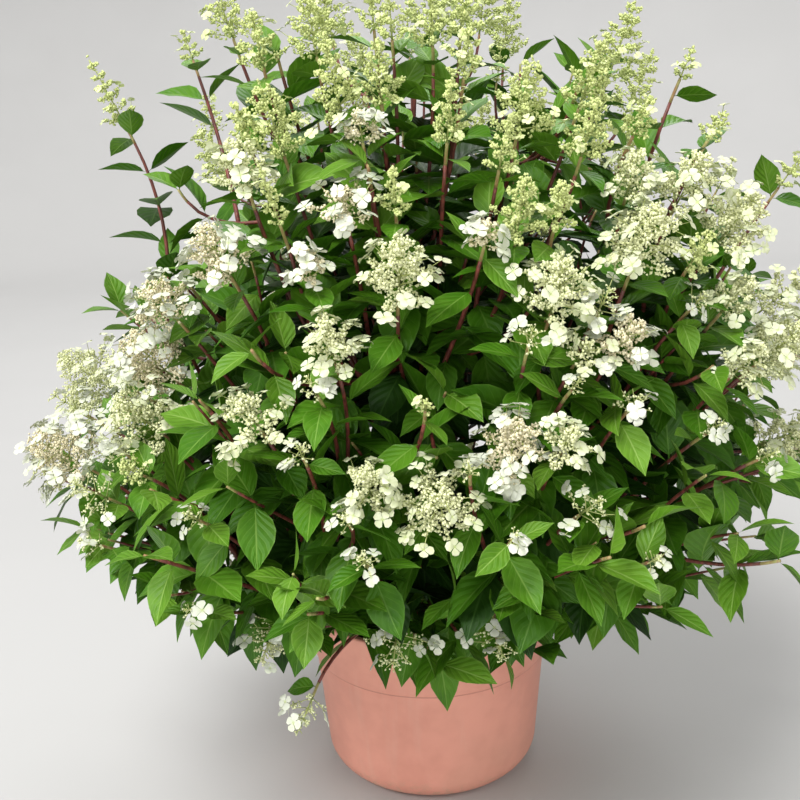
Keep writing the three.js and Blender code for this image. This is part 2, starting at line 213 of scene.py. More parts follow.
@dataclass
class Patchwork:
    """Vertices, faces and UVs of many small shapes, gathered for one kind of piece."""

    vertices: list[Array] = field(default_factory=list)
    faces: list[Array] = field(default_factory=list)
    uvs: list[Array] = field(default_factory=list)

    def add(self, vertices: Array, faces: Array, uv: Array | None = None) -> None:
        """Adds copies of one shape.

        Args:
            vertices: copies by corners by coordinates.
            faces: the triangles or quads of one copy, as corner numbers.
            uv: the UV place of each corner of one copy.
        """
        self.vertices.append(np.asarray(vertices, np.float32))
        self.faces.append(np.asarray(faces, np.int64))
        corners = vertices.shape[1]
        self.uvs.append(np.zeros((corners, 2)) if uv is None else np.asarray(uv))

    def triangles(self) -> int:
        """Returns how many triangles have been gathered."""
        return sum(len(v) * len(f) * (f.shape[1] - 2) for v, f in zip(self.vertices, self.faces))

    def parts(self) -> list["Patchwork"]:
        """Splits the work into even parts that each stay under the limit of a piece.

        Returns:
            The parts, of which each has a share of the copies of every shape.
        """
        count = max(1, math.ceil(self.triangles() / PIECE_LIMIT))
        parts = []
        for i in range(count):
            part = Patchwork()
            for vertices, faces, uv in zip(self.vertices, self.faces, self.uvs):
                share = vertices[i::count]
                if len(share):
                    part.add(share, faces, uv)
            parts.append(part)
        return parts

    def mesh(self, name: str) -> Mesh:
        """Builds the mesh, with smooth faces and a UV map.

        Args:
            name: the mesh's name.

        Returns:
            The new mesh.
        """
        places, corners, starts, uvs = [], [], [], []
        vertex_count = corner_count = 0
        for vertices, faces, uv in zip(self.vertices, self.faces, self.uvs):
            copies, size = vertices.shape[:2]
            offsets = vertex_count + size * np.arange(copies)[:, None, None]
            numbered = (faces[None] + offsets).reshape(-1, faces.shape[1])
            places.append(vertices.reshape(-1, 3))
            corners.append(numbered.ravel())
            starts.append(corner_count + faces.shape[1] * np.arange(len(numbered)))
            uvs.append(np.tile(uv, (copies, 1)))
            vertex_count += copies * size
            corner_count += numbered.size
        corner = np.concatenate(corners)
        mesh = bpy.data.meshes.new(name)
        mesh.vertices.add(vertex_count)
        mesh.vertices.foreach_set("co", np.concatenate(places).astype(np.float32).ravel())
        mesh.loops.add(corner_count)
        mesh.loops.foreach_set("vertex_index", corner.astype(np.int32))
        start = np.concatenate(starts)
        mesh.polygons.add(len(start))
        mesh.polygons.foreach_set("loop_start", start.astype(np.int32))
        layer = mesh.uv_layers.new(name="UVMap")
        layer.data.foreach_set("uv", np.concatenate(uvs)[corner].astype(np.float32).ravel())
        mesh.polygons.foreach_set("use_smooth", np.ones(len(start), bool))
        mesh.update(calc_edges=True)
        mesh.validate()
        return mesh


def place_piece(
    name: str,
    work: Patchwork,
    material: Material,
    stands_for: Iterable[str] = (),
) -> None:
    """Makes the gathered work one or more pieces that ride on the plant.

    Args:
        name: the name of the piece; a number follows it where there is more than one.
        work: the gathered shapes.
        material: the finish of all of them.
        stands_for: the solids that the pieces replace.
    """
    parts = work.parts()
    for number, part in enumerate(parts, start=1):
        label = name if len(parts) == 1 else f"{name}_{number}"
        piece = put_in_scene(label, part.mesh(label))
        piece.data.materials.append(material)
        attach(piece, BODY)
        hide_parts(*stands_for)
        log.info("%s: %d triangles", label, part.triangles())


def grid_triangles(rows: int, columns: int, closed: bool) -> Array:
    """Two triangles for each cell of a grid of corners.

    Args:
        rows: how many rows of corners there are.
        columns: how many corners a row has.
        closed: whether the last column joins the first, as round a tube.

    Returns:
        Triangles as corner numbers; those of a tube face outwards.
    """
    cells = columns if closed else columns - 1
    row, column = np.meshgrid(np.arange(rows - 1), np.arange(cells), indexing="ij")
    here = (row * columns + column).ravel()
    beside = (row * columns + (column + 1) % columns).ravel()
    lower = np.stack([here, beside, beside + columns], axis=1)
    upper = np.stack([here, beside + columns, here + columns], axis=1)
    return np.concatenate([lower, upper])


def tube_triangles(rings: int, sides: int) -> Array:
    """The triangles of a tube of rings, closed by a fan across either end.

    Args:
        rings: how many rings the tube has.
        sides: how many corners a ring has.

    Returns:
        Triangles as corner numbers, facing outwards.
    """
    step = np.arange(1, sides - 1)
    foot = np.stack([0 * step, step + 1, step], axis=1)
    end = (rings - 1) * sides + np.stack([0 * step, step, step + 1], axis=1)
    return np.concatenate([grid_triangles(rings, sides, True), foot, end])


def add_tubes(work: Patchwork, paths: Array, radii: Array, sides: int) -> None:
    """Adds closed tubes along paths.

    A corner is path + radius·(cos a·side + sin a·over), for a round the ring.

    Args:
        work: where the tubes go.
        paths: tubes by rings by coordinates.
        radii: tubes by rings.
        sides: how many corners a ring has.
    """
    along = tangents(paths)
    first = along[:, :1]
    helper = np.where(np.abs(first[..., 2:]) > 0.9, np.array([1.0, 0.0, 0.0]), UP)
    level = np.cross(helper, first)
    side = unit(level - np.sum(level * along, axis=-1, keepdims=True) * along)
    over = np.cross(along, side)
    ring = turned(side[:, :, None], over[:, :, None], full_turn(sides))
    corners = paths[:, :, None] + radii[:, :, None, None] * ring
    tubes, rings = paths.shape[:2]
    v = np.repeat(np.linspace(0, 1, rings), sides)
    u = np.tile(np.arange(sides) / sides, rings)
    shapes = corners.reshape(tubes, rings * sides, 3)
    work.add(shapes, tube_triangles(rings, sides), np.stack([u, v], axis=1))


def turned_surface(profile: Array, segments: int) -> tuple[Array, Array]:
    """A profile of radius and height turned about +Z; its first and last points are poles on the axis.

    Args:
        profile: points of radius and height.
        segments: how many steps go round.

    Returns:
        The corners, as one shape whose last two are the poles, and its triangles.
    """
    angle = full_turn(segments)
    radius, height = profile[1:-1, :1], profile[1:-1, 1:]
    x, y = radius * np.cos(angle), radius * np.sin(angle)
    rings = np.stack([x, y, np.broadcast_to(height, x.shape)], axis=-1).reshape(-1, 3)
    poles = np.stack([[0, 0, profile[0, 1]], [0, 0, profile[-1, 1]]])
    here, count = np.arange(segments), len(rings)
    beside, pole = (here + 1) % segments, np.full(segments, count)
    first = np.stack([pole, beside, here], axis=1)
    last = np.stack([pole + 1, count - segments + here, count - segments + beside], axis=1)
    body = grid_triangles(len(profile) - 2, segments, True)
    return np.concatenate([rings, poles])[None], np.concatenate([body, first, last])


# Shader building


class Graph:
    """Adds nodes to a node tree, each with its inputs set or linked."""

    def __init__(self, tree: NodeTree) -> None:
        """Takes the tree to build in."""
        self.tree = tree

    def fill(self, node: Node, inputs: dict[str | int, object]) -> None:
        """Feeds a node's inputs, each from a plain value or from another node's output.

        Args:
            node: the node whose inputs are fed.
            inputs: the value or output for each input's name or number; a colour has three channels.
        """
        for name, value in inputs.items():
            socket = node.inputs[name]
            if isinstance(value, Socket):
                self.tree.links.new(value, socket)
            else:
                socket.default_value = (*value, 1.0) if socket.type == "RGBA" else value

    def node(self, kind: str, inputs: dict[str | int, object], **settings: object) -> Node:
        """Adds a node.

        Args:
            kind: the node's type, without the words that all shader nodes start with.
            inputs: the value or output for each input's name or number.
            **settings: its properties.

        Returns:
            The new node.
        """
        made = self.tree.nodes.new(f"ShaderNode{kind}")
        for name, value in settings.items():
            setattr(made, name, value)
        self.fill(made, inputs)
        return made

    def math(self, operation: str, a: object, b: object = 0.0, clamp: bool = False) -> Socket:
        """Returns the output of a Math node for two values or outputs, from 0 to 1 where clamped."""
        return self.node("Math", {0: a, 1: b}, operation=operation, use_clamp=clamp).outputs[0]

    def noise(self, place: object, scale: object, detail: float = 3.0, rough: float = 0.5) -> Socket:
        """Returns a noise about 0.5, by features to a metre, finer layers and how strong these are."""
        inputs = {"Vector": place, "Scale": scale, "Detail": detail, "Roughness": rough}
        return self.node("TexNoise", inputs).outputs["Fac"]

    def cells(self, place: object, scale: object) -> Socket:
        """Returns the distance from the middle of each cell of a Voronoi Texture."""
        return self.node("TexVoronoi", {"Vector": place, "Scale": scale}).outputs["Distance"]

    def band(self, value: object, low: float, high: float) -> Socket:
        """Returns a smooth rise from 0 at low to 1 at high, or a fall where low is larger."""
        inputs = {"Value": value, "From Min": low, "From Max": high}
        return self.node("MapRange", inputs, interpolation_type="SMOOTHSTEP").outputs["Result"]

    def blend(self, share: object, first: object, second: object) -> Socket:
        """Returns the colour that lies a share of the way from the first to the second."""
        return self.node("Mix", {0: share, 6: first, 7: second}, data_type="RGBA").outputs[2]

    def split(self, place: object) -> Sockets:
        """Returns the outputs X, Y and Z of a place."""
        return self.node("SeparateXYZ", {"Vector": place}).outputs

    def drawn_out(self, place: object, share: float) -> Socket:
        """Returns a place whose height is a share of what it was, so that patterns are long and upright."""
        return self.node("Mapping", {"Vector": place, "Scale": (1.0, 1.0, share)}).outputs[0]

    def group(self, name: str, inputs: dict[str, object]) -> Sockets:
        """Returns the outputs of a node group that it places."""
        return self.node("Group", inputs, node_tree=bpy.data.node_groups[name]).outputs

    def gloss(self, least: float, mask: object, swing: float) -> Socket:
        """Returns a roughness of least + swing·mask."""
        return self.math("ADD", least, self.math("MULTIPLY", mask, swing))

    def dress(self, shader: Node, colour: object, roughness: object, height: object, bump: Pair) -> None:
        """Feeds a Principled shader.

        Args:
            shader: the shader.
            colour: the output that gives its base colour.
            roughness: its roughness, a value or an output.
            height: the output that gives the relief.
            bump: the relief's strength, and the height of a full step in metres.
        """
        inputs = {"Height": height, "Strength": bump[0], "Distance": bump[1]}
        normal = self.node("Bump", inputs).outputs["Normal"]
        self.fill(shader, {"Base Color": colour, "Roughness": roughness, "Normal": normal})


def new_group(name: str, control: str, results: Sequence[str]) -> tuple:
    """Starts a shader node group that takes a place and one number, and gives numbers.

    Args:
        name: the group's name.
        control: the name of the number.
        results: the names of what it gives.

    Returns:
        The group's graph, what it is given, and the node that takes its results.
    """
    tree = bpy.data.node_groups.new(name, "ShaderNodeTree")
    sockets = [("Vector", "INPUT", "Vector"), (control, "INPUT", "Float")]
    sockets += [(label, "OUTPUT", "Float") for label in results]
    for label, direction, kind in sockets:
        tree.interface.new_socket(label, in_out=direction, socket_type=f"NodeSocket{kind}")
    given = tree.nodes.new("NodeGroupInput").outputs
    return Graph(tree), given, tree.nodes.new("NodeGroupOutput")


def add_mottle_group() -> None:
    """Cloudy change of tone: coarse noise plus half as much noise 5.3 times as fine.

    It gives the mask from 0 to 1.
    """
    graph, given, result = new_group("mottle", "Scale", ["Mask"])
    coarse = graph.noise(given["Vector"], given["Scale"], 4.0)
    fine = graph.noise(given["Vector"], graph.math("MULTIPLY", given["Scale"], 5.3), 2.0)
    total = graph.math("ADD", coarse, graph.math("MULTIPLY", fine, 0.5))
    graph.fill(result, {"Mask": graph.band(total, 0.52, 0.98)})


def add_vein_group() -> None:
    """Veins of a leaf from its UVs: u runs across, with the midrib at 0.5, and v along.

    A side vein is where v·ribs - 2.2·|across| is whole, so the veins sweep towards the tip.

    It gives masks of the veins and of the margin, and the quilted height between veins.
    """
    graph, given, result = new_group("leaf_veins", "Ribs", ["Vein", "Margin", "Height"])
    place = graph.split(given["Vector"])
    off_middle = graph.math("ABSOLUTE", graph.math("SUBTRACT", place["X"], 0.5))
    sideways = graph.math("MULTIPLY", off_middle, 2.0)
    forward = graph.math("MULTIPLY", place["Y"], given["Ribs"])
    swept = graph.math("SUBTRACT", forward, graph.math("MULTIPLY", sideways, 2.2))
    from_vein = graph.math("PINGPONG", swept, 0.5)
    midrib, side_vein = (graph.band(away, 0.07, 0.015) for away in (sideways, from_vein))
    fading = graph.math("MULTIPLY", side_vein, graph.band(sideways, 1.0, 0.5))
    graph.fill(result, {
        "Vein": graph.math("MAXIMUM", midrib, graph.math("MULTIPLY", fading, 0.4)),
        "Margin": graph.band(sideways, 0.86, 1.0),
        "Height": graph.math("MULTIPLY", from_vein, graph.band(sideways, 0.0, 0.25)),
    })


def add_bark_group() -> None:
    """Bark: noise drawn out along the height, with small bright pores.

    It gives the tone of the bark and its height.
    """
    graph, given, result = new_group("bark", "Scale", ["Tone", "Height"])
    fibre = graph.noise(graph.drawn_out(given["Vector"], 0.16), given["Scale"], 5.0)
    pores = graph.cells(given["Vector"], graph.math("MULTIPLY", given["Scale"], 1.7))
    pore = graph.band(pores, 0.22, 0.1)
    tone = graph.band(fibre, 0.3, 0.7)
    graph.fill(result, {
        "Tone": graph.math("ADD", tone, graph.math("MULTIPLY", pore, 0.35)),
        "Height": graph.math("ADD", fibre, graph.math("MULTIPLY", pore, 0.2)),
    })


def new_material(name: str) -> tuple[Material, Graph, Node, Sockets]:
    """Starts a material with a Principled shader.

    Args:
        name: the material's name.

    Returns:
        The material, its graph, its shader and the outputs that place a texture.
    """
    material = bpy.data.materials.new(name)
    material.use_nodes = True
    graph = Graph(material.node_tree)
    shader = material.node_tree.nodes["Principled BSDF"]
    return material, graph, shader, graph.node("TexCoord", {}).outputs


@dataclass(frozen=True)
class LeafFinish:
    """The finish of one shade of leaf."""

    name: str
    light: Colour
    dark: Colour
    vein: Colour
    roughness: float = 0.42
    swing: float = 0.12
    specular: float = 0.24
    ribs: float = 6.5
    cloud_scale: float = 9.0
    vein_share: float = 0.7
    margin_share: float = 0.3
    bump: Pair = (0.6, 0.0026)

    def material(self) -> Material:
        """Builds the material: two greens in clouds, paler veins and margin, and quilting between veins.

        Returns:
            The material.
        """
        material, graph, shader, place = new_material(self.name)
        cloud = graph.group("mottle", {"Vector": place["Object"], "Scale": self.cloud_scale})["Mask"]
        veins = graph.group("leaf_veins", {"Vector": place["UV"], "Ribs": self.ribs})
        colour = graph.blend(cloud, self.dark, self.light)
        for mask, share in (("Vein", self.vein_share), ("Margin", self.margin_share)):
            colour = graph.blend(graph.math("MULTIPLY", veins[mask], share), colour, self.vein)
        roughness = graph.gloss(self.roughness, cloud, self.swing)
        graph.dress(shader, colour, roughness, veins["Height"], self.bump)
        graph.fill(shader, {"Specular IOR Level": self.specular})
        return material


@dataclass(frozen=True)
class BloomFinish:
    """The finish of buds, petals or stalks."""

    name: str
    light: Colour
    dark: Colour
    scale: float
    roughness: float = 0.6
    heart: Colour | None = None
    heart_share: float = 0.3
    swing: float = 0.1
    grain_scale: float = 420.0
    bump: Pair = (0.25, 0.0006)

    def material(self) -> Material:
        """Builds the material: two tones in grains, and on petals another colour at the heart.

        Returns:
            The material.
        """
        material, graph, shader, place = new_material(self.name)
        mottle = graph.group("mottle", {"Vector": place["Object"], "Scale": self.scale})["Mask"]
        colour = graph.blend(mottle, self.dark, self.light)
        if self.heart:
            near = graph.band(graph.split(place["UV"])["Y"], self.heart_share, 0.0)
            colour = graph.blend(near, colour, self.heart)
        grain = graph.noise(place["Object"], self.grain_scale, 2.0)
        graph.dress(shader, colour, graph.gloss(self.roughness, mottle, self.swing), grain, self.bump)
        return material


@dataclass(frozen=True)
class BarkFinish:
    """The finish of wood, from grey stool to red cane."""

    name: str
    light: Colour
    dark: Colour
    scale: float
    roughness: float
    relief: float
    swing: float = 0.12
    cloud_scale: float = 14.0
    least_tone: float = 0.45
    strength: float = 0.6

    def material(self) -> Material:
        """Builds the material: bark tone over drawn-out fibre, with its relief.

        Returns:
            The material.
        """
        material, graph, shader, place = new_material(self.name)
        bark = graph.group("bark", {"Vector": place["Object"], "Scale": self.scale})
        cloud = graph.group("mottle", {"Vector": place["Object"], "Scale": self.cloud_scale})["Mask"]
        patches = graph.math("ADD", cloud, self.least_tone)
        tone = graph.math("MULTIPLY", bark["Tone"], patches, clamp=True)
        roughness = graph.gloss(self.roughness, bark["Tone"], self.swing)
        colour = graph.blend(tone, self.dark, self.light)
        graph.dress(shader, colour, roughness, bark["Height"], (self.strength, self.relief))
        return material


@dataclass(frozen=True)
class PlanterFinish:
    """Matte moulded plastic in a terracotta colour, with a little dust, a few large pale patches, and a painted
    shadow under the band.
    """

    name: str = "terracotta_plastic"
    light: Colour = (0.785, 0.349, 0.26)
    dark: Colour = (0.695, 0.295, 0.217)
    streak: Colour = (0.74, 0.44, 0.34)
    haze: Colour = (0.42, 0.31, 0.2)
    # Painted shadow: crease is the colour of the dark line under the band's overhanging step.
    crease: Colour = (0.3, 0.115, 0.08)
    crease_height: float = 0.2755
    crease_edge: Pair = (0.0036, 0.0006)
    dust_height: Pair = (0.075, 0.005)
    streak_share: float = 0.16
    dust_share: float = 0.5
    haze_share: float = 0.26
    crease_shadow_share: float = 0.6
    roughness: float = 0.5
    swing: float = 0.14
    bump: Pair = (0.18, 0.0009)

    def _dust_and_patches(self, graph: Graph, where: object, height: object) -> Socket:
        """Where the planter is marked: dust specks near the foot, and a few large pale patches.

        Args:
            graph: the material's graph.
            where: the output that places a texture.
            height: the output that gives the height above the ground.

        Returns:
            The mask.
        """
        low = graph.band(height, *self.dust_height)
        speck = graph.band(graph.noise(where, 60.0, 5.0, 0.7), 0.46, 0.62)
        dust = graph.math("MULTIPLY", graph.math("MULTIPLY", low, speck), self.dust_share)
        patch = graph.band(graph.noise(where, 3.2, 2.0), 0.55, 0.75)
        return graph.math("MAXIMUM", dust, graph.math("MULTIPLY", patch, self.haze_share))

    def material(self) -> Material:
        """Builds the material: soft clouds, faint runs, dust, and a painted shadow in the crease under the
        band's step.

        Returns:
            The material.
        """
        material, graph, shader, place = new_material(self.name)
        where = place["Object"]
        height = graph.split(where)["Z"]
        cloud = graph.group("mottle", {"Vector": where, "Scale": 5.0})["Mask"]
        run = graph.band(graph.noise(graph.drawn_out(where, 0.1), 34.0), 0.52, 0.7)
        # Painted shadow: a thin dark line round the crease where the band stands proud of the body.
        away = graph.math("ABSOLUTE", graph.math("SUBTRACT", height, self.crease_height))
        crease_shadow = graph.math("MULTIPLY", graph.band(away, *self.crease_edge), self.crease_shadow_share)
        colour = graph.blend(cloud, self.dark, self.light)
        colour = graph.blend(graph.math("MULTIPLY", run, self.streak_share), colour, self.streak)
        colour = graph.blend(self._dust_and_patches(graph, where, height), colour, self.haze)
        colour = graph.blend(crease_shadow, colour, self.crease)
        grain = graph.math("ADD", graph.noise(where, 900.0, 2.0), graph.noise(where, 26.0, 2.0))
        graph.dress(shader, colour, graph.gloss(self.roughness, cloud, self.swing), grain, self.bump)
        return material


@dataclass(frozen=True)
class CompostFinish:
    """Dark, moist compost with bark chips."""

    name: str = "moist_compost"
    light: Colour = (0.105, 0.066, 0.042)
    dark: Colour = (0.018, 0.012, 0.009)
    chip_scale: float = 85.0
    crumb_scale: float = 40.0
    roughness: float = 0.92
    bump: Pair = (0.9, 0.004)

    def material(self) -> Material:
        """Builds the material: chips from a cell pattern over dark crumbs.

        Returns:
            The material.
        """
        material, graph, shader, place = new_material(self.name)
        where = place["Object"]
        chip = graph.band(graph.cells(where, self.chip_scale), 0.1, 0.7)
        crumbs = graph.group("mottle", {"Vector": where, "Scale": self.crumb_scale})["Mask"]
        colour = graph.blend(graph.math("MULTIPLY", chip, crumbs), self.dark, self.light)
        height = graph.math("ADD", chip, graph.noise(where, 160.0, 4.0))
        graph.dress(shader, colour, self.roughness, height, self.bump)
        return material


@dataclass(frozen=True)
class FloorFinish:
    """The studio's pale, matte floor."""

    name: str = "pale_floor"
    tone: Colour = (0.52, 0.515, 0.505)
    darker: float = 0.965
    roughness: float = 0.75

    def material(self) -> Material:
        """Builds the floor's material, with a faint cloud in its tone.

        Returns:
            The material.
        """
        material, graph, shader, place = new_material(self.name)
        cloud = graph.band(graph.noise(place["Object"], 0.8), 0.3, 0.7)
        dark = tuple(self.darker * channel for channel in self.tone)
        colour = graph.blend(cloud, dark, self.tone)
        graph.fill(shader, {"Base Color": colour, "Roughness": self.roughness})
        return material


# The way the shrub is seen


@dataclass(frozen=True)
class Viewpoint:
    """The camera's place and angle, level with an adult's eyes and tilted a little."""

    x: float = -0.0505
    y: float = -2.277
    z: float = 1.476
    pitch: float = 15.45
    roll: float = -1.9
    focal_pixels: float = 1090.0
    sensor: float = 36.0

    def axes(self) -> tuple[Array, Array, Array]:
        """The frame of the view.

        Returns:
            The unit vectors to the right, up and forward.
        """
        pitch, roll = math.radians(self.pitch), math.radians(self.roll)
        forward = np.array([0.0, math.cos(pitch), -math.sin(pitch)])
        level_up = np.array([0.0, math.sin(pitch), math.cos(pitch)])
        level_right = np.array([1.0, 0.0, 0.0])
        right = math.cos(roll) * level_right + math.sin(roll) * level_up
        up = -math.sin(roll) * level_right + math.cos(roll) * level_up
        return right, up, forward

    def place(self) -> Array:
        """Returns the camera's place."""
        return np.array([self.x, self.y, self.z])

    def ray(self, pixel_x: float, pixel_y: float) -> Array:
        """The direction in which a pixel looks.

        Args:
            pixel_x: pixels from the left of the frame.
            pixel_y: pixels from the top of the frame.

        Returns:
            forward + right·(x - middle)/f + up·(middle - y)/f, so one metre forward.
        """
        right, up, forward = self.axes()
        middle = IMAGE_SIZE / 2
        sideways = right * (pixel_x - middle) / self.focal_pixels
        return forward + sideways + up * (middle - pixel_y) / self.focal_pixels

    def pixels(self, points: Array) -> Array:
        """Where points fall in the frame.

        Args:
            points: places in metres.

        Returns:
            Their pixels from the left and from the top.
        """
        right, up, forward = self.axes()
        seen = points - self.place()
        far = seen @ forward
        middle = IMAGE_SIZE / 2
        return np.stack([
            middle + self.focal_pixels * (seen @ right) / far,
            middle - self.focal_pixels * (seen @ up) / far,
        ], axis=-1)

    def camera(self) -> None:
        """Makes the scene's camera."""
        data = bpy.data.cameras.new("camera")
        data.sensor_width = self.sensor
        data.lens = self.sensor * self.focal_pixels / IMAGE_SIZE
        data.clip_start, data.clip_end = 0.05, 60.0
        camera = put_in_scene("camera", data)
        aim(camera, self.place(), *self.axes())
        bpy.context.scene.camera = camera


# The skeleton, by the rule that grew the solids


@dataclass(frozen=True)
class Crown:
    """The surface that the tips of the shoots reach, seen from a point inside it."""

    heart: float = 0.72
    spread: float = 0.88
    rise: float = 1.11
    drop: float = 0.36
    front_drop: float = 0.25
    squareness: float = 2.2
    under_squareness: float = 1.4
    side_draw: float = 0.05
    shoulder_draw: float = 0.15

    def radius(self, azimuth: Array | float, elevation: Array | float) -> Array:
        """Distance from the heart to the surface: (|cos e / spread|^s + |sin e / height|^s)^(-1/s).

        The height is the rise above the heart and the drop below it, and the drop is less on the front. The
        -X side is drawn in by a small share, and its shoulder by more.

        Args:
            azimuth: degrees round the axis.
            elevation: degrees above the level of the heart.

        Returns:
            The distance in each direction.
        """
        angle = np.radians(elevation)
        above = np.asarray(elevation) > 0
        drop = mix(self.drop, self.front_drop, ramp(-np.sin(np.radians(azimuth)), 0.6, 0.95))
        power = np.where(above, self.squareness, self.under_squareness)
        flat = np.abs(np.cos(angle)) / self.spread
        tall = np.abs(np.sin(angle)) / np.where(above, self.rise, drop)
        side = ramp(-np.cos(np.radians(azimuth)), 0.35, 0.85)
        shoulder = ramp(elevation, 5, 22) * (1 - ramp(elevation, 45, 65))
        reach = (flat**power + tall**power) ** (-1 / power)
        return reach * (1 - side * (self.side_draw + self.shoulder_draw * shoulder))

    def point(self, azimuth: float, elevation: float, share: float) -> Array:
        """The place a share of the way from the heart to the surface.

        Args:
            azimuth: degrees round the axis.
            elevation: degrees above the level of the heart.
            share: 0 at the heart and 1 on the surface.

        Returns:
            The place.
        """
        reach = float(self.radius(azimuth, elevation)) * share
        level = reach * math.cos(math.radians(elevation))
        return np.array([
            level * math.cos(math.radians(azimuth)),
            level * math.sin(math.radians(azimuth)),
            self.heart + reach * math.sin(math.radians(elevation)),
        ])

    def share(self, points: Array) -> Array:
        """How far out points lie: 0 at the heart and 1 on the surface.

        Args:
            points: places in metres.

        Returns:
            The share of each.
        """
        away = points - np.array([0.0, 0.0, self.heart])
        reach = np.linalg.norm(away, axis=-1)
        elevation = np.degrees(np.arcsin(np.clip(away[..., 2] / np.maximum(reach, 1e-9), -1, 1)))
        azimuth = np.degrees(np.arctan2(away[..., 1], away[..., 0]))
        return reach / self.radius(azimuth, elevation)

    def elevation(self, point: Array) -> float:
        """Returns the elevation of a place, in degrees, seen from the heart."""
        away = point - np.array([0.0, 0.0, self.heart])
        return math.degrees(math.asin(away[2] / np.linalg.norm(away)))


@dataclass(frozen=True)
class Tier:
    """One tier of canes or boughs, with angles in degrees and shares from the heart to the surface."""

    name: str
    count: int
    turn: float
    elevation: float
    tip_share: float
    mass_share: float
    foot_radius: float
    tip_radius: float
    lift: float
    ring_radius: float = 0.0
    branch_share: float = 0.0


LEADER = Tier("leader", 1, 0, 90, 0.55, 0.75, 0.009, 0.006, 0.5)
TOP = Tier("top", 5, 18, 66, 0.5, 0.72, 0.009, 0.006, 0.55, ring_radius=0.025)
UPPER = Tier("upper", 7, -90, 34, 0.48, 0.72, 0.0115, 0.0065, 0.28)
MIDDLE = Tier("middle", 7, -64.3, 3, 0.5, 0.72, 0.0085, 0.006, 0.12, branch_share=0.36)
SKIRT = Tier("skirt", 7, -90, -22, 0.66, 0.82, 0.008, 0.006, 0.1, branch_share=0.15)


@dataclass(frozen=True)
class Bough:
    """A cane or bough, with the middle of the foliage that it carries and that foliage's stem."""

    name: str
    mass_name: str
    tier: Tier
    path: Array
    stem: Array
    heart: Array


class Stage(Enum):
    """How far a head of bloom has opened."""

    LEAFY = "leafy"
    BUD = "bud"
    OPENING = "opening"
    FULL = "full"
    LOOSE = "loose"


@dataclass(frozen=True)
class Shoot:
    """A twig with its leaves, and the head of bloom on its tip."""

    path: Array
    axis: Array
    height: float
    width: float
    stage: Stage
    turn: float
    fine: bool


@dataclass(frozen=True)
class Sighting:
    """A head or spray where it shows: its place, height and width in pixels, and its stage."""

    x: float
    y: float
    height: float
    width: float
    stage: Stage


# Heads by stage and sprays of new leaves: the middle, height and width of each in pixels of the first view
BUDS = (
    (272, 120, 66, 62), (312, 26, 50, 56), (334, 80, 78, 50), (380, 72, 58, 46), (390, 15, 40, 36),
    (432, 20, 42, 40), (462, 8, 40, 42), (466, 52, 44, 40), (450, 110, 58, 38), (225, 14, 40, 50),
    (257, 38, 48, 46), (105, 92, 58, 30), (187, 44, 26, 22), (504, 145, 50, 34), (523, 97, 68, 62),
    (591, 74, 62, 50), (589, 128, 54, 52), (643, 117, 36, 38), (687, 63, 26, 20), (717, 126, 26, 28),
    (794, 166, 40, 26), (520, 206, 62, 54), (560, 204, 46, 44), (700, 250, 42, 38), (269, 197, 56, 24),
    (394, 190, 46, 32), (131, 471, 26, 34), (425, 406, 16, 18), (241, 120, 34, 34), (372, 8, 34, 34),
)
OPENINGS = (
    (634, 174, 46, 52), (738, 220, 56, 68), (400, 268, 74, 70), (77, 376, 56, 72), (140, 420, 60, 72),
    (560, 288, 60, 78), (568, 443, 46, 50), (440, 512, 62, 78), (249, 416, 46, 70), (366, 489, 58, 52),
    (737, 296, 44, 44), (783, 345, 52, 56), (328, 342, 56, 58), (583, 352, 26, 44), (645, 238, 62, 84),
    (691, 182, 56, 64), (241, 165, 50, 56), (748, 362, 42, 46),
)
FULLS = (
    (214, 252, 58, 60), (163, 304, 40, 66), (151, 358, 58, 74), (60, 454, 56, 70), (516, 449, 74, 70),
    (626, 338, 50, 58), (343, 206, 30, 60), (360, 126, 30, 36), (487, 234, 28, 36), (307, 262, 40, 32),
)
LOOSES = (
    (590, 508, 40, 50), (364, 564, 30, 30), (395, 650, 34, 60), (500, 642, 34, 54), (270, 642, 46, 52),
    (306, 716, 36, 36), (89, 491, 42, 50), (191, 517, 24, 26), (89, 543, 24, 26), (311, 386, 32, 26),
    (531, 337, 22, 40), (634, 404, 22, 40), (715, 428, 24, 30), (300, 452, 26, 30), (190, 610, 20, 20),
    (655, 560, 20, 22), (770, 455, 22, 26), (345, 520, 26, 28), (515, 538, 18, 20), (577, 384, 20, 22),
    (52, 405, 34, 44), (50, 474, 30, 40), (112, 446, 30, 40), (150, 298, 26, 44), (124, 384, 30, 40),
    (84, 416, 30, 40), (470, 470, 20, 24), (605, 300, 30, 40), (700, 300, 20, 24),
)
SPRAYS = (
    (202, 402, 40, 40), (531, 520, 44, 40), (410, 575, 44, 40), (414, 664, 30, 30), (440, 684, 30, 30),
    (472, 672, 30, 30), (506, 676, 30, 30), (536, 666, 30, 30), (262, 632, 30, 30), (240, 610, 30, 30),
    (285, 645, 30, 30), (160, 560, 40, 40), (300, 615, 30, 30), (600, 560, 40, 40), (560, 610, 30, 30),
)

# The least height in metres at which a head that isn't sighted is of each stage
STAGE_HEIGHTS = ((Stage.BUD, 1.32), (Stage.OPENING, 1.05), (Stage.FULL, 0.72))


def sightings() -> list[Sighting]:
    """Returns the heads of bloom and the sprays of new leaves that show on the side seen first."""
    stages = ((BUDS, Stage.BUD), (OPENINGS, Stage.OPENING), (FULLS, Stage.FULL), (LOOSES, Stage.LOOSE),
              (SPRAYS, Stage.LEAFY))
    return [Sighting(*numbers, stage) for rows, stage in stages for numbers in rows]


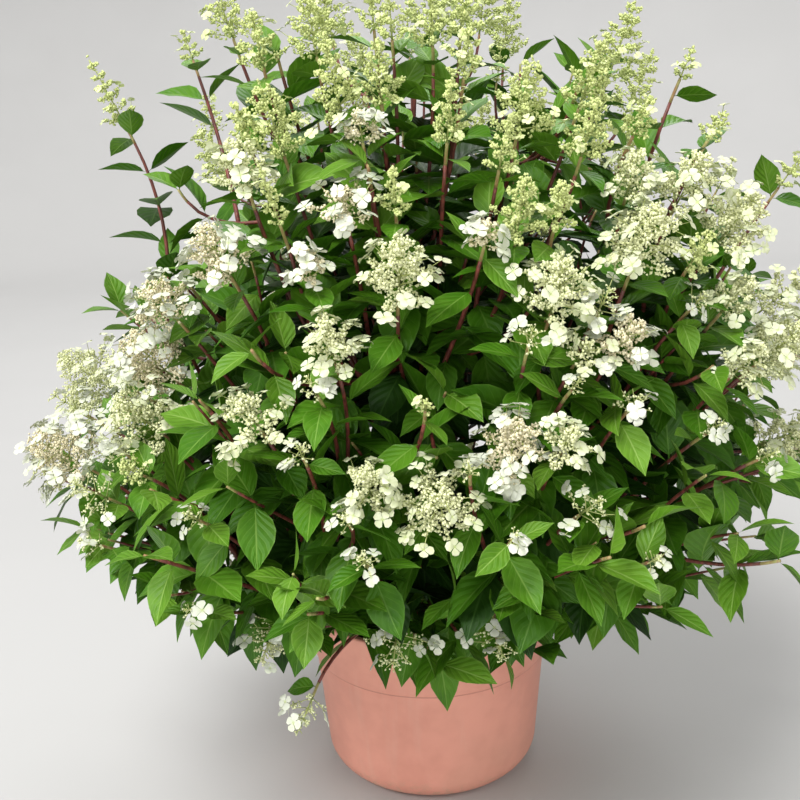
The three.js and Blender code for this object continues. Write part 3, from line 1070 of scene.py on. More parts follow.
@dataclass
class Skeleton:
    """The canes, boughs and shoots of the shrub."""

    crown: Crown
    viewpoint: Viewpoint
    room: tuple[Array, Array]
    stool_foot: float = 0.3503
    stool_height: float = 0.084
    stool_waist: float = 0.046
    foot_sunk: float = 0.012
    top_lean: float = 0.12
    side_foot: float = 0.55
    side_rise: float = 0.75
    turn_swing: float = 5.0
    tier_swing: float = 3.0
    branch_rise: float = 0.35
    bend_reach: float = 0.4
    bend_lift: float = 0.3
    stem_share: float = 0.7
    tilt: tuple[float, float, float] = (27.0, 0.72, 88.0)
    head_size: Pair = (0.15, 0.115)
    fine_head_size: Pair = (0.14, 0.11)
    first_shoots: int = 88
    fine_shoots: int = 240
    inner_shoots: int = 190
    loose_edge: float = 1.24
    lowest_shoot: float = -40.0
    hanging_pixel: float = 600.0
    hanging_reach: float = 0.68
    hanging_axis: Pair = (0.85, -0.5)
    crossing: Pair = (0.16, 0.6)
    sight_range: Pair = (1.2, 3.1)
    sight_steps: int = 240
    hidden_width: float = 0.55
    bough_points: int = 49
    path_points: int = 17
    boughs: list[Bough] = field(default_factory=list)
    shoots: list[Shoot] = field(default_factory=list)

    def grow(self) -> None:
        """Grows the canes and boughs, then their shoots: the solids' own, those that show, and finer ones."""
        self._grow_boughs()
        self._grow_first_shoots()
        self._grow_seen_shoots()
        limbs = self._limb_points()
        self._grow_fill(limbs, self.fine_shoots, 71.0, (0.74, 0.96), Dice(97))
        self._grow_fill(limbs, self.inner_shoots, 17.0, (0.38, 0.74), Dice(53))
        self._shorten_before_bloom()

    def _foot_on_stool(self, tier: Tier, azimuth: float) -> tuple[Array, Array]:
        """Where a cane leaves the stool.

        Args:
            tier: the cane's tier.
            azimuth: its direction round the stool, in degrees.

        Returns:
            A point just inside the stool, and the direction in which the cane starts.
        """
        outward = np.array([math.cos(math.radians(azimuth)), math.sin(math.radians(azimuth)), 0.0])
        if tier in (LEADER, TOP):
            foot = outward * tier.ring_radius
            foot[2] = self.stool_foot + self.stool_height - self.foot_sunk
            return foot, unit(self.top_lean * outward + UP)
        foot = outward * (self.stool_waist - self.foot_sunk)
        foot[2] = self.stool_foot + self.side_foot * self.stool_height
        return foot, unit(outward + self.side_rise * UP)

    def _grow_boughs(self) -> None:
        """Grows every cane and bough, tier by tier, in the order that keeps the seeded numbers in step."""
        dice = Dice(41)
        by_name: dict[str, Bough] = {}
        for tier in (LEADER, TOP, UPPER, MIDDLE, SKIRT):
            for i in range(tier.count):
                azimuth = tier.turn + 360 * i / tier.count + dice.swing(self.turn_swing)
                elevation = tier.elevation + (0 if tier is LEADER else dice.swing(self.tier_swing))
                tip = self.crown.point(azimuth, elevation, tier.tip_share)
                if tier in (MIDDLE, SKIRT):
                    parent = by_name[f"bough_upper_{i + 1}"]
                    foot = on_path(parent.path, tier.branch_share)
                    level = (tip - foot) * np.array([1.0, 1.0, 0.0])
                    direction = unit(unit(level) + self.branch_rise * UP)
                else:
                    foot, direction = self._foot_on_stool(tier, azimuth)
                span = float(np.linalg.norm(tip - foot))
                lift = tier.lift * self.bend_lift * span
                bend = foot + self.bend_reach * span * direction + lift * UP
                heart = self.crown.point(azimuth, elevation, tier.mass_share)
                label = "leader" if tier is LEADER else f"{tier.name}_{i + 1}"
                name = "cane_leader" if tier is LEADER else f"bough_{label}"
                path = bend_path(foot, bend, tip, self.bough_points)
                bough = Bough(name, f"foliage_{label}", tier, path, self._stem(path, heart), heart)
                by_name[bough.name] = bough
                self.boughs.append(bough)

    def _stem(self, path: Array, heart: Array) -> Array:
        """The stem that carries a bough on into its foliage.

        Args:
            path: the bough's path.
            heart: the middle of the foliage.

        Returns:
            The stem's path.
        """
        tip, heading = path[-1], unit(path[-1] - path[-2])
        end = mix(tip, heart, self.stem_share)
        bend = tip + 0.5 * np.linalg.norm(end - tip) * heading
        return bend_path(tip, bend, end, self.path_points)

    def _owner(self, point: Array) -> Bough:
        """Returns the bough whose foliage is nearest to a point."""
        return min(self.boughs, key=lambda bough: float(np.sum((bough.heart - point) ** 2)))

    def _axis(self, azimuth: float, elevation: float) -> Array:
        """The direction in which a shoot's tip points: level low down, and steeper the higher it stands.

        Args:
            azimuth: degrees round the crown.
            elevation: degrees above the level of the crown's heart.

        Returns:
            The unit direction.
        """
        start, slope, steepest = self.tilt
        tilt = math.radians(min(steepest, start + slope * elevation))
        turn = math.radians(azimuth)
        level = math.cos(tilt)
        return np.array([level * math.cos(turn), level * math.sin(turn), math.sin(tilt)])

    def _grow_first_shoots(self) -> None:
        """Grows the solids' own shoots: their tips lie on the crown by the golden angle."""
        dice = Dice(7)
        lowest = math.sin(math.radians(self.lowest_shoot))
        plans: dict[str, list[tuple]] = {bough.name: [] for bough in self.boughs}
        for i in range(self.first_shoots):
            height = 1 - (i + 0.5) / self.first_shoots * (1 - lowest)
            elevation = math.degrees(math.asin(height))
            azimuth = i * GOLDEN_ANGLE % 360
            tip = self.crown.point(azimuth, elevation, 0.93 + 0.07 * dice.roll())
            axis = self._axis(azimuth, elevation)
            turn = 360 * dice.roll()
            leafy = i % 5 == 0 and tip[2] < 1.05
            plans[self._owner(tip).name].append((tip, axis, turn, leafy))
        for bough in self.boughs:
            own = plans[bough.name]
            for i, (tip, axis, turn, leafy) in enumerate(own):
                foot = on_path(bough.stem, 0.25 + 0.7 * (i + 0.5) / len(own))
                size = float(mix(0.62, 1.0, ramp(tip[2], 0.3, 1.2)))
                stage = Stage.LEAFY if leafy or self._faces_view(tip) else self._stage(tip, dice)
                self._add_shoot(foot, tip, axis, [size * side for side in self.head_size], stage, turn)

    def _faces_view(self, tip: Array) -> bool:
        """Whether a tip stands on the side seen first, where each head of bloom has its own sighting.

        Args:
            tip: where the shoot ends.

        Returns:
            True where the crown's surface there is turned to the camera and lies in the frame.
        """
        outward = unit((tip - np.array([0, 0, self.crown.heart])) / np.array([1, 1, 1.3]) ** 2)
        pixel = self.viewpoint.pixels(tip)
        towards = unit(self.viewpoint.place() - tip)
        return float(outward @ towards) > -0.2 and 0 < pixel[1] and 0 < pixel[0] < IMAGE_SIZE

    def _stage(self, tip: Array, dice: Dice) -> Stage:
        """Returns how far a head has opened: buds on top, full ones below, loose ones lowest."""
        height = tip[2] + dice.swing(0.16)
        return next((stage for stage, least in STAGE_HEIGHTS if height > least), Stage.LOOSE)

    def _add_shoot(
        self, foot: Array, tip: Array, axis: Array, size: Sequence[float], stage: Stage, turn: float,
        fine: bool = False,
    ) -> None:
        """Adds a shoot whose twig ends below its bloom.

        Args:
            foot: where the twig leaves its limb.
            tip: where the bloom or the last leaves end.
            axis: the direction of the tip.
            size: the height and width of the bloom.
            stage: how far the bloom has opened.
            turn: the turn of the first pair of leaves, in degrees.
            fine: whether it is one of the finer shoots.
        """
        end = tip - axis * (0.0 if stage is Stage.LEAFY else size[0])
        bend = end - axis * 0.5 * float(np.linalg.norm(end - foot))
        path = bend_path(foot, bend, end, self.path_points)
        self.shoots.append(Shoot(path, axis, *size, stage, turn, fine))

    def _limb_points(self) -> Array:
        """Gathers the places where finer shoots can start.

        Returns:
            Points along the outer boughs, the stems and the lower part of the first shoots.
        """
        outer = [bough.path[22:] for bough in self.boughs]
        stems = [bough.stem for bough in self.boughs]
        twigs = [shoot.path[:12] for shoot in self.shoots if not shoot.fine]
        return np.concatenate([*outer, *stems, *twigs])

    def _grow_seen_shoots(self) -> None:
        """Grows a shoot to each sighting: to where its ray meets the crown, or comes nearest to it.

        A ray that passes below the crown ends where it comes near the axis, and its shoot hangs there.
        """
        dice = Dice(23)
        limbs = self._limb_points()
        for seen in sightings():
            far = np.linspace(*self.sight_range, self.sight_steps)[:, None]
            track = self.viewpoint.place() + far * self.viewpoint.ray(seen.x, seen.y)
            shares = self.crown.share(track)
            inside = np.nonzero(shares < 0.95 + 0.03 * dice.roll())[0]
            hanging = seen.y > self.hanging_pixel and not len(inside)
            if hanging:
                index = int(np.argmax(np.hypot(track[:, 0], track[:, 1]) < self.hanging_reach))
            else:
                index = int(inside[0]) if len(inside) else int(np.argmin(shares))
            scale = self.viewpoint.focal_pixels / far[index, 0]
            margin = 0.5 * self.loose_edge * max(seen.height, seen.width) / scale + 0.012
            middle = np.clip(track[index], self.room[0] + margin, self.room[1] - margin)
            elevation = self.crown.elevation(middle)
            azimuth = math.degrees(math.atan2(middle[1], middle[0])) + dice.swing(8)
            axis = self._axis(azimuth, max(elevation, -20) + dice.swing(6))
            if hanging:
                outward = unit(middle * np.array([1.0, 1.0, 0.0]))
                axis = unit(self.hanging_axis[0] * outward + self.hanging_axis[1] * UP)
            size = [self.loose_edge * side / scale for side in (seen.height, seen.width)]
            tip = middle + axis * 0.5 * size[0]
            reach = mix(0.26, 0.46, dice.roll())
            wanted = middle - axis * reach - 0.1 * UP
            self._add_shoot(nearest(limbs, wanted), tip, axis, size, seen.stage, 360 * dice.roll())

    def _grow_fill(self, limbs: Array, count: int, turn: float, reach: Pair, dice: Dice) -> None:
        """Grows finer shoots that fill the crown out, each from the nearest limb to where it should start.

        On the side seen first they stay a little lower near the top, so that the heads stand clear.

        Args:
            limbs: points on the limbs.
            count: how many shoots there are.
            turn: the azimuth of the first, in degrees.
            reach: the least and the greatest share of the way to the crown's surface that they reach.
            dice: the run of random numbers.
        """
        lowest = math.sin(math.radians(self.lowest_shoot - 4))
        for i in range(count):
            height = 1 - (i + 0.5) / count * (1 - lowest)
            elevation = math.degrees(math.asin(height))
            azimuth = (i * GOLDEN_ANGLE + turn) % 360
            near_top = 1 - 0.15 * float(ramp(elevation, 20, 55))
            share = mix(*reach, dice.roll() ** 0.6)
            tip = self.crown.point(azimuth, elevation, near_top * share)
            if not self._faces_view(tip):
                tip = self.crown.point(azimuth, elevation, share)
            tip = np.clip(tip, self.room[0] + 0.03, self.room[1] - 0.03)
            axis = self._axis(azimuth + dice.swing(16), elevation + dice.swing(10))
            wanted = tip - axis * mix(0.18, 0.34, dice.roll())
            foot = nearest(limbs, wanted)
            bare = dice.roll() < 0.45 or reach[1] < 0.9 or self._faces_view(tip)
            stage = Stage.LEAFY if bare else self._stage(tip, dice)
            share = mix(0.55, 0.95, dice.roll())
            size = [share * side for side in self.fine_head_size]
            self._add_shoot(foot, tip, axis, size, stage, 360 * dice.roll(), fine=True)

    def hides_bloom(self, points: Array, aside: float) -> Array:
        """Which points stand before a head of bloom, seen from outside the crown or from the first view.

        They do within aside·width of a line from the head's middle, for a short way straight outwards or a
        longer one to the first viewpoint.

        Args:
            points: points by coordinates.
            aside: the share of the head's width.

        Returns:
            True for each point that hides a head.
        """
        heads = [shoot for shoot in self.shoots if shoot.stage is not Stage.LEAFY and not shoot.fine]
        middles = np.stack([shoot.path[-1] + shoot.axis * 0.5 * shoot.height for shoot in heads])
        wide = np.array([shoot.width for shoot in heads])
        away = points[:, None] - middles[None]
        hides = np.zeros(len(points), bool)
        lines = (middles - UP * self.crown.heart, self.viewpoint.place() - middles)
        for line, longest in zip(lines, self.crossing):
            far = np.sum(away * unit(line), axis=-1)
            beside = np.linalg.norm(away - far[..., None] * unit(line), axis=-1)
            hides |= np.any((far > -0.03) & (far < longest) & (beside < aside * wide), axis=1)
        return hides

    def _shorten_before_bloom(self) -> None:
        """Ends leafy shoots before they cross a head of bloom, and leaves the shortest fine ones out."""
        kept = []
        for shoot in self.shoots:
            hides = self.hides_bloom(shoot.path, self.hidden_width)
            if shoot.stage is Stage.LEAFY and hides.any():
                share = (int(np.argmax(hides)) - 1) / (self.path_points - 1)
                if share < 0.5 and shoot.fine:
                    continue
                path = on_path(shoot.path, np.linspace(0, max(share, 0.4), self.path_points))
                shoot = replace(shoot, path=path)
            kept.append(shoot)
        self.shoots = kept


# Planter and compost


@dataclass(frozen=True)
class Planter:
    """A round planter that tapers down to a round bottom edge, under a band that stands a little proud."""

    height: float = 0.392
    band_foot: float = 0.276
    band_foot_radius: float = 0.2635
    rim_radius: float = 0.27
    rim_rounding: float = 0.005
    rim_width: float = 0.016
    body_top_radius: float = 0.26
    body_foot_radius: float = 0.241
    foot_rounding: float = 0.059
    wall: float = 0.008
    floor: float = 0.009
    segments: int = 144

    @staticmethod
    def _arc(radius: float, height: float, size: float, start: float, end: float, steps: int) -> Array:
        """Returns points of radius and height on an arc round a middle, from one angle to another."""
        angle = np.radians(np.linspace(start, end, steps + 1))
        return np.stack([radius + size * np.cos(angle), height + size * np.sin(angle)], axis=1)

    def profile(self) -> Array:
        """The planter's section: up the outside, over the rim, and down the inside to the floor.

        Returns:
            Points of radius and height, from axis to axis.
        """
        foot_middle = self.body_foot_radius - self.foot_rounding
        rounding = self._arc(foot_middle, self.foot_rounding, self.foot_rounding, -90, 0, 14)
        body_foot = np.array([self.body_foot_radius, self.foot_rounding])
        body_top = np.array([self.body_top_radius, self.band_foot])
        body = mix(body_foot, body_top, np.linspace(0.06, 0.993, 10)[:, None])
        step = np.array([
            [self.body_top_radius - 0.0006, self.band_foot - 0.0004],
            [self.body_top_radius + 0.0004, self.band_foot + 0.0002],
            [self.band_foot_radius - 0.0008, self.band_foot + 0.0004],
            [self.band_foot_radius, self.band_foot + 0.0014],
        ])
        band_top = self.height - self.rim_rounding
        band_foot = np.array([self.band_foot_radius, self.band_foot])
        band_end = np.array([self.rim_radius, band_top])
        band = mix(band_foot, band_end, np.linspace(0.1, 0.92, 7)[:, None])
        lip = self._arc(self.rim_radius - self.rim_rounding, band_top, self.rim_rounding, 0, 90, 6)
        inner = self.rim_radius - self.rim_width
        lip_in = self._arc(inner + 0.003, self.height - 0.003, 0.003, 90, 180, 4)
        inside = np.array([
            [inner - 0.001, band_top - 0.02],
            [self.body_top_radius - self.wall, self.band_foot],
            [self.body_foot_radius - self.wall, self.foot_rounding],
        ])
        size = self.foot_rounding - self.wall
        bowl = self._arc(foot_middle, self.floor + size, size, 0, -90, 8)[1:]
        return np.concatenate([
            [[0, 0], [foot_middle * 0.5, 0]], rounding, body, step, band, lip, lip_in, inside, bowl,
            [[0, self.floor]],
        ])

    def build(self) -> None:
        """Turns the section, adds a trace of unevenness, and dresses the planter.

        The unevenness moves each point outwards by 0.35 mm·sin(3a + 9z)·sin(2a), which fades at the foot.
        """
        corners, faces = turned_surface(self.profile(), self.segments)
        angle = np.arctan2(corners[..., 1], corners[..., 0])
        high = ramp(corners[..., 2], 0.03, 0.1)
        wave = 0.00035 * high * np.sin(3 * angle + 9 * corners[..., 2]) * np.sin(2 * angle)
        corners[..., 0] += wave * np.cos(angle)
        corners[..., 1] += wave * np.sin(angle)
        work = Patchwork()
        work.add(corners, faces)
        place_piece("planter_shell", work, PlanterFinish().material(), ["planter"])


@dataclass(frozen=True)
class Compost:
    """The compost: level round the stool, falling a little to the wall."""

    middle_height: float = 0.350
    middle_radius: float = 0.09
    edge_height: float = 0.336
    edge_radius: float = 0.2565
    rings: int = 44
    segments: int = 120

    def build(self) -> None:
        """Builds the crumbled surface over a plain closed body, and dresses it.

        The height is the plain fall plus crumbs: 4 mm·sin(61x + 5 sin 23y)·sin(57y + 4 sin 31x) and a
        finer pair of waves a third as high, less 2 mm, which fade at the stool and the wall.
        """
        radius = np.linspace(0, self.edge_radius, self.rings)
        share = ramp(radius, self.middle_radius, self.edge_radius)
        top = np.stack([radius, mix(self.middle_height, self.edge_height, share)], axis=1)
        under = np.array([[0.0, 0.012], [0.18, 0.012], [0.215, 0.03], [0.231, 0.062], [0.2515, 0.274]])
        corners, faces = turned_surface(np.concatenate([under, top[::-1]]), self.segments)
        x, y = corners[..., 0], corners[..., 1]
        crumbs = 0.004 * np.sin(61 * x + 5 * np.sin(23 * y)) * np.sin(57 * y + 4 * np.sin(31 * x))
        crumbs += 0.0014 * np.sin(173 * x + 3 * np.sin(91 * y)) * np.sin(181 * y + 3 * np.sin(77 * x))
        reach = np.hypot(x, y)
        loose = ramp(reach, 0.05, 0.1) * ramp(-reach, -self.edge_radius + 0.001, -self.edge_radius + 0.03)
        corners[..., 2] += np.where(corners[..., 2] > 0.3, (crumbs - 0.002) * loose, 0)
        work = Patchwork()
        work.add(corners, faces)
        place_piece("compost_bed", work, CompostFinish().material(), ["soil"])


# Wood


@dataclass
class Wood:
    """The stool with its flare, and the canes and boughs above it, with the relief of their bark."""

    skeleton: Skeleton
    rings: int = 44
    sides: int = 12
    stool_segments: int = 64

    def _relief(self, around: Array, along: Array, phase: Array) -> Array:
        """Long ridges and knuckles of bark, as a share of the radius.

        It is 0.05·sin(3a + 5s + p) + 0.035·sin(5a - 17s + 2p) + 0.16·knuckle, where the knuckle stands at
        each node, by |sin|^12 along the limb.

        Args:
            around: the angle round the limb.
            along: the way along the limb.
            phase: each limb's own shift.

        Returns:
            The share that is added to the radius.
        """
        ridges = 0.05 * np.sin(3 * around + 5 * along + phase)
        ridges = ridges + 0.035 * np.sin(5 * around - 17 * along + 2 * phase)
        knuckle = np.abs(np.sin(np.pi * 6.5 * along + phase)) ** 12
        return ridges + 0.16 * knuckle

    def _limbs(self) -> tuple[Array, Array]:
        """Builds all canes and boughs as rings with bark relief.

        Returns:
            The corners of each limb, and the triangles of one.
        """
        boughs = self.skeleton.boughs
        shares = np.linspace(0, 1, self.rings)
        paths = np.stack([on_path(bough.path, shares) for bough in boughs])
        feet = np.array([bough.tier.foot_radius for bough in boughs])[:, None]
        tips = np.array([bough.tier.tip_radius for bough in boughs])[:, None]
        radii = mix(feet, tips * 0.92, shares[None])
        along = tangents(paths)
        side, over = across(along)
        angle = full_turn(self.sides)
        phase = 1.7 * np.arange(len(boughs))
        relief = self._relief(angle[None, None], shares[None, :, None], phase[:, None, None])
        size = radii[:, :, None] * (1 + relief)
        ring = turned(side[:, :, None], over[:, :, None], angle)
        corners = paths[:, :, None] + size[..., None] * ring
        return corners.reshape(len(boughs), -1, 3), tube_triangles(self.rings, self.sides)

    def _stool(self) -> tuple[Array, Array]:
        """Builds the stool: the solid's own section in finer steps, with ridges down to the flare.

        Returns:
            The corners, and the triangles.
        """
        skeleton = self.skeleton
        foot, height = skeleton.stool_foot, skeleton.stool_height
        levels = np.array([0, 0.06, 0.2, 0.45, 0.75, 0.93, 1.0])
        widths = np.array([0.064, 0.060, 0.051, 0.046, 0.045, 0.041, 0.030])
        rise = np.linspace(0, 1, 26)
        radius = np.interp(rise, levels, widths)
        profile = np.concatenate([
            [[0, foot]], np.stack([radius, foot + height * rise], axis=1), [[0, foot + height]],
        ])
        corners, faces = turned_surface(profile, self.stool_segments)
        angle = np.arctan2(corners[..., 1], corners[..., 0])
        up = (corners[..., 2] - foot) / height
        ridge = 0.07 * np.sin(7 * angle + 3 * up) * (1 - 0.5 * up) + 0.03 * np.sin(13 * angle - 11 * up)
        corners[..., :2] *= (1 + ridge - 0.05)[..., None]
        return corners, faces

    def build(self) -> None:
        """Builds and dresses the stool and the limbs."""
        old = BarkFinish("stool_bark", (0.2, 0.135, 0.09), (0.05, 0.032, 0.022), 60.0, 0.75, 0.0022)
        cane = BarkFinish("bough_bark", (0.19, 0.072, 0.042), (0.06, 0.02, 0.014), 95.0, 0.5, 0.0011)
        stool, limbs = Patchwork(), Patchwork()
        stool.add(*self._stool())
        limbs.add(*self._limbs())
        place_piece("stool_wood", stool, old.material(), ["stool"])
        names = [bough.name for bough in self.skeleton.boughs]
        place_piece("bough_wood", limbs, cane.material(), names)


# Foliage


class Shade(Enum):
    """The shades of leaf, from the newest pair on a shoot to those deep in the crown, whose darkness is partly
    age and partly painted shade.
    """

    YOUNG = LeafFinish("leaf_young", (0.127, 0.272, 0.02), (0.074, 0.19, 0.01), (0.27, 0.42, 0.1))
    FRESH = LeafFinish("leaf_fresh", (0.083, 0.214, 0.01), (0.046, 0.15, 0.005), (0.19, 0.33, 0.06))
    SUMMER = LeafFinish("leaf_summer", (0.055, 0.165, 0.006), (0.028, 0.102, 0.0025), (0.118, 0.24, 0.038))
    # DEEP is partly old leaves and partly painted shade for leaves inside the crown.
    DEEP = LeafFinish("leaf_deep", (0.018, 0.062, 0.004), (0.006, 0.026, 0.0015), (0.04, 0.1, 0.016))


# The lowest pixel that leaves on the front may reach, for pixels across the first view
DRAPE = ((0, 640), (150, 640), (235, 695), (314, 705), (324, 660), (370, 660), (386, 705), (440, 722),
         (480, 704), (545, 702), (560, 670), (700, 655), (800, 640))


@dataclass
class LeafPlan:
    """Where leaves grow: a row for each leaf, with its shoot's number and its share of the way along."""

    root: Array
    along: Array
    length: Array
    shade: Array
    owner: Array
    share: Array


@dataclass
class Foliage:
    """Opposite pairs of leaves along every shoot and the outer boughs, and how far along each they go."""

    skeleton: Skeleton
    allowed: tuple[Array, Array]
    leaf_length: float = 0.128
    internode: float = 0.066
    spread: float = 64.0
    droop: Pair = (0.52, 0.2)
    pot_room: Pair = (0.274, 0.396)
    lowest: Pair = (0.3, 0.235)
    hidden_width: float = 0.4
    middle_station: int = 4
    stations: tuple[float, ...] = (0.0, 0.09, 0.17, 0.3, 0.46, 0.62, 0.77, 0.9)
    widths: tuple[float, ...] = (0.035, 0.045, 0.46, 0.85, 1.0, 0.91, 0.61, 0.24)
    columns: tuple[float, ...] = (-1.0, -0.52, 0.0, 0.52, 1.0)
    ends: Array | None = None
    random: np.random.Generator = field(default_factory=lambda: np.random.default_rng(5))

    def _pairs(self, path: Array, turn: float, first: float, last: float) -> tuple[Array, ...]:
        """The nodes of a shoot, each with two opposite leaves, a quarter turned from the last pair.

        Args:
            path: the shoot's path.
            turn: the turn of the first pair, in degrees.
            first: the share of the path where the lowest pair stands.
            last: the share of the path where the highest pair stands.

        Returns:
            For each leaf its root, the twig's direction there, the outward direction, the number of its
            pair counted from the tip, and its share of the way along.
        """
        length = float(np.sum(np.linalg.norm(np.diff(path, axis=0), axis=1)))
        count = max(2, int(round(length * (last - first) / self.internode)) + 1)
        shares = np.linspace(first, last, count) ** 0.94
        points = on_path(path, shares)
        ahead, behind = np.minimum(shares + 0.04, 1), np.maximum(shares - 0.04, 0)
        heading = unit(on_path(path, ahead) - on_path(path, behind))
        side, over = across(heading)
        order = np.arange(count)[::-1]
        angle = np.radians(turn + 90 * np.arange(count))
        outward = turned(side, over, angle)
        points, heading = np.tile(points, (2, 1)), np.tile(heading, (2, 1))
        return points, heading, np.concatenate([outward, -outward]), np.tile(order, 2), np.tile(shares, 2)

    def _plan(self) -> LeafPlan:
        """Plans every leaf of the shrub.

        A leaf points along heading·cos s + outward·sin s, for a spread s, and then sinks by its droop,
        which is larger low on the crown.

        Returns:
            The plan.
        """
        growing = []
        for number, shoot in enumerate(self.skeleton.shoots):
            leafy = shoot.stage is Stage.LEAFY
            first, last = 0.2 if shoot.fine else 0.26, 0.985 if leafy else 0.93
            growing.append((shoot.path, shoot.turn, first, last, 0, leafy, number))
        for number, bough in enumerate(self.skeleton.boughs):
            whole = np.concatenate([bough.path, bough.stem[1:]])
            bend = 2 * whole[len(whole) // 2] - (whole[0] + whole[-1]) / 2
            even = bend_path(whole[0], bend, whole[-1], self.skeleton.bough_points)
            growing.append((even, 37.0 * number, 0.42, 0.98, 4, False, -1))
        rows = []
        for path, turn, first, last, older, leafy, owner in growing:
            root, heading, outward, order, share = self._pairs(path, turn, first, last)
            leafy, owner = np.full(len(root), float(leafy)), np.full(len(root), owner)
            rows.append((root, heading, outward, order + older, share, leafy, owner))
        columns = (np.concatenate(column) for column in zip(*rows))
        root, heading, outward, order, share, leafy, owner = columns
        count = len(root)
        spread = np.radians(self.spread + self.random.normal(0, 9, count) - 14 * leafy * (order < 2))
        along = heading * np.cos(spread)[:, None] + outward * np.sin(spread)[:, None]
        droop = mix(*self.droop, ramp(root[:, 2], 0.45, 1.35)) + self.random.normal(0, 0.13, count)
        droop *= ramp(order, -0.8, 2.0)
        along[:, 2] -= droop * (1 - np.abs(along[:, 2]))
        along = unit(along + self.random.normal(0, 0.11, (count, 3)))
        growth = mix(0.6, 1.0, ramp(order, -0.8, 2.2))
        length = self.leaf_length * growth * self.random.uniform(0.76, 1.12, count)
        return LeafPlan(root, along, length, self._shades(root, order, leafy), owner, share)

    def _shades(self, root: Array, order: Array, leafy: Array) -> Array:
        """Deals the shades out: new near the tips, darker deep inside the crown as painted shade, darker low
        down and lighter high up.

        Args:
            root: where each leaf grows.
            order: the number of its pair, counted from the tip.
            leafy: 1 on a shoot that ends in leaves.

        Returns:
            The number of each leaf's shade.
        """
        age_and_shade = 0.5 * order + self.random.normal(0, 0.45, len(root)) - 0.85 * leafy
        high = ramp(root[:, 2], 1.0, 1.4)
        # Painted shade: leaves well inside the crown get darker shades, less so near the top.
        age_and_shade += (3.4 - 2.0 * high) * ramp(0.86 - 0.08 * high - self.skeleton.crown.share(root), 0, 0.32)
        # Darker low down, partly for older leaves and partly painted shade; lighter high up, partly for newer
        # leaves and partly painted light let through the top leaves.
        age_and_shade += 0.6 * ramp(0.95 - root[:, 2], 0, 0.6) - 0.6 * ramp(root[:, 2], 1.15, 1.5)
        return np.digitize(age_and_shade, (-0.15, 1.0, 2.6))

    def _shape(self, plan: LeafPlan) -> Array:
        """Shapes leaves from one grid: u across the blade from -1 to 1, and v along it from 0 to 1.

        The half width is w(v)·u and the length v - 0.1·curl·v³. The height is fold·|u|·w(v), less curl·v²
        for the hang of the tip, plus a wave along the margin of ripple·sin(2π(1.7 v + phase))·u²·w(v).

        Args:
            plan: the leaves' places, directions and lengths.

        Returns:
            Leaves by corners by coordinates; the last corner is the tip.
        """
        v = np.append(np.repeat(self.stations, len(self.columns)), 1.0)
        width = np.append(np.repeat(self.widths, len(self.columns)), 0.0)
        u = np.append(np.tile(self.columns, len(self.stations)), 0.0)
        count = len(plan.root)
        side0, over0 = across(plan.along)
        roll = self.random.normal(0, 0.3, count)
        side, over = turned(side0, over0, roll), turned(over0, -side0, roll)
        length = plan.length[:, None]
        half = length * self.random.uniform(0.225, 0.29, (count, 1))
        fold = self.random.uniform(0.1, 0.42, (count, 1))
        curl = self.random.uniform(0.04, 0.3, (count, 1))
        ripple = self.random.uniform(0.0, 0.1, (count, 1))
        phase = self.random.uniform(0, 1, (count, 1))
        x = length * (v - 0.1 * curl * v**3)
        y = half * width * u
        lift = half * width * (fold * np.abs(u) + ripple * u**2 * np.sin(2 * np.pi * (1.7 * v + phase)))
        z = lift - length * curl * v**2
        return (
            plan.root[:, None] + x[..., None] * plan.along[:, None]
            + y[..., None] * side[:, None] + z[..., None] * over[:, None]
        )

    def _template(self) -> tuple[Array, Array]:
        """Numbers the corners of one leaf, whose last is the tip.

        Returns:
            The triangles of its grid and tip, facing up, and its UVs.
        """
        columns, rows = len(self.columns), len(self.stations)
        blade = grid_triangles(rows, columns, False)[:, ::-1]
        last = (rows - 1) * columns + np.arange(columns - 1)
        tip = np.stack([last + 1, last, np.full(columns - 1, rows * columns)], axis=1)
        v = np.append(np.repeat(self.stations, columns), 1.0)
        u = np.append(np.tile((np.array(self.columns) + 1) / 2, rows), 0.5)
        return np.concatenate([blade, tip]), np.stack([u, v], axis=1)

    def _fits(self, leaves: Array) -> Array:
        """Which leaves keep to the shrub's own room, out of the planter, above the drape and off the bloom.

        Args:
            leaves: leaves by corners by coordinates.

        Returns:
            True for each leaf that fits.
        """
        low, high = self.allowed
        front = leaves[:, 0, 1] < 0.1
        lowest = np.where(front, self.lowest[1], self.lowest[0])
        inside = np.all((leaves > low) & (leaves < high), axis=(1, 2))
        inside &= leaves[..., 2].min(axis=1) > lowest
        level = np.hypot(leaves[..., 0], leaves[..., 1])
        in_pot = np.any((level < self.pot_room[0]) & (leaves[..., 2] < self.pot_room[1]), axis=1)
        pixels = self.skeleton.viewpoint.pixels(leaves)
        ragged = self.random.normal(0, 9, (len(leaves), 1))
        drape = np.interp(pixels[..., 0], *np.transpose(DRAPE)) + ragged
        hangs = front & np.any(pixels[..., 1] > drape, axis=1)
        fits = inside & ~in_pot & ~hangs
        for station in (0, self.middle_station):
            place = leaves[:, len(self.columns) * station + 2]
            fits &= ~self.skeleton.hides_bloom(place, self.hidden_width)
        return fits

    def build(self) -> None:
        """Plans, shapes and dresses the leaves, one piece for each shade."""
        plan = self._plan()
        leaves = self._shape(plan)
        fitting = self._fits(leaves)
        kept = fitting & (plan.owner >= 0)
        leafy = [shoot.stage is Stage.LEAFY for shoot in self.skeleton.shoots]
        self.ends = np.where(leafy, 0.2, 1.0)
        np.maximum.at(self.ends, plan.owner[kept], np.minimum(plan.share[kept] + 0.01, 1))
        triangles, uv = self._template()
        masses = [bough.mass_name for bough in self.skeleton.boughs]
        for number, shade in enumerate(Shade):
            chosen = leaves[fitting & (plan.shade == number)]
            work = Patchwork()
            work.add(chosen, triangles, uv)
            log.info("%s: %d leaves", shade.value.name, len(chosen))
            material = shade.value.material()
            place_piece(f"leaves_{shade.name.lower()}", work, material, masses)


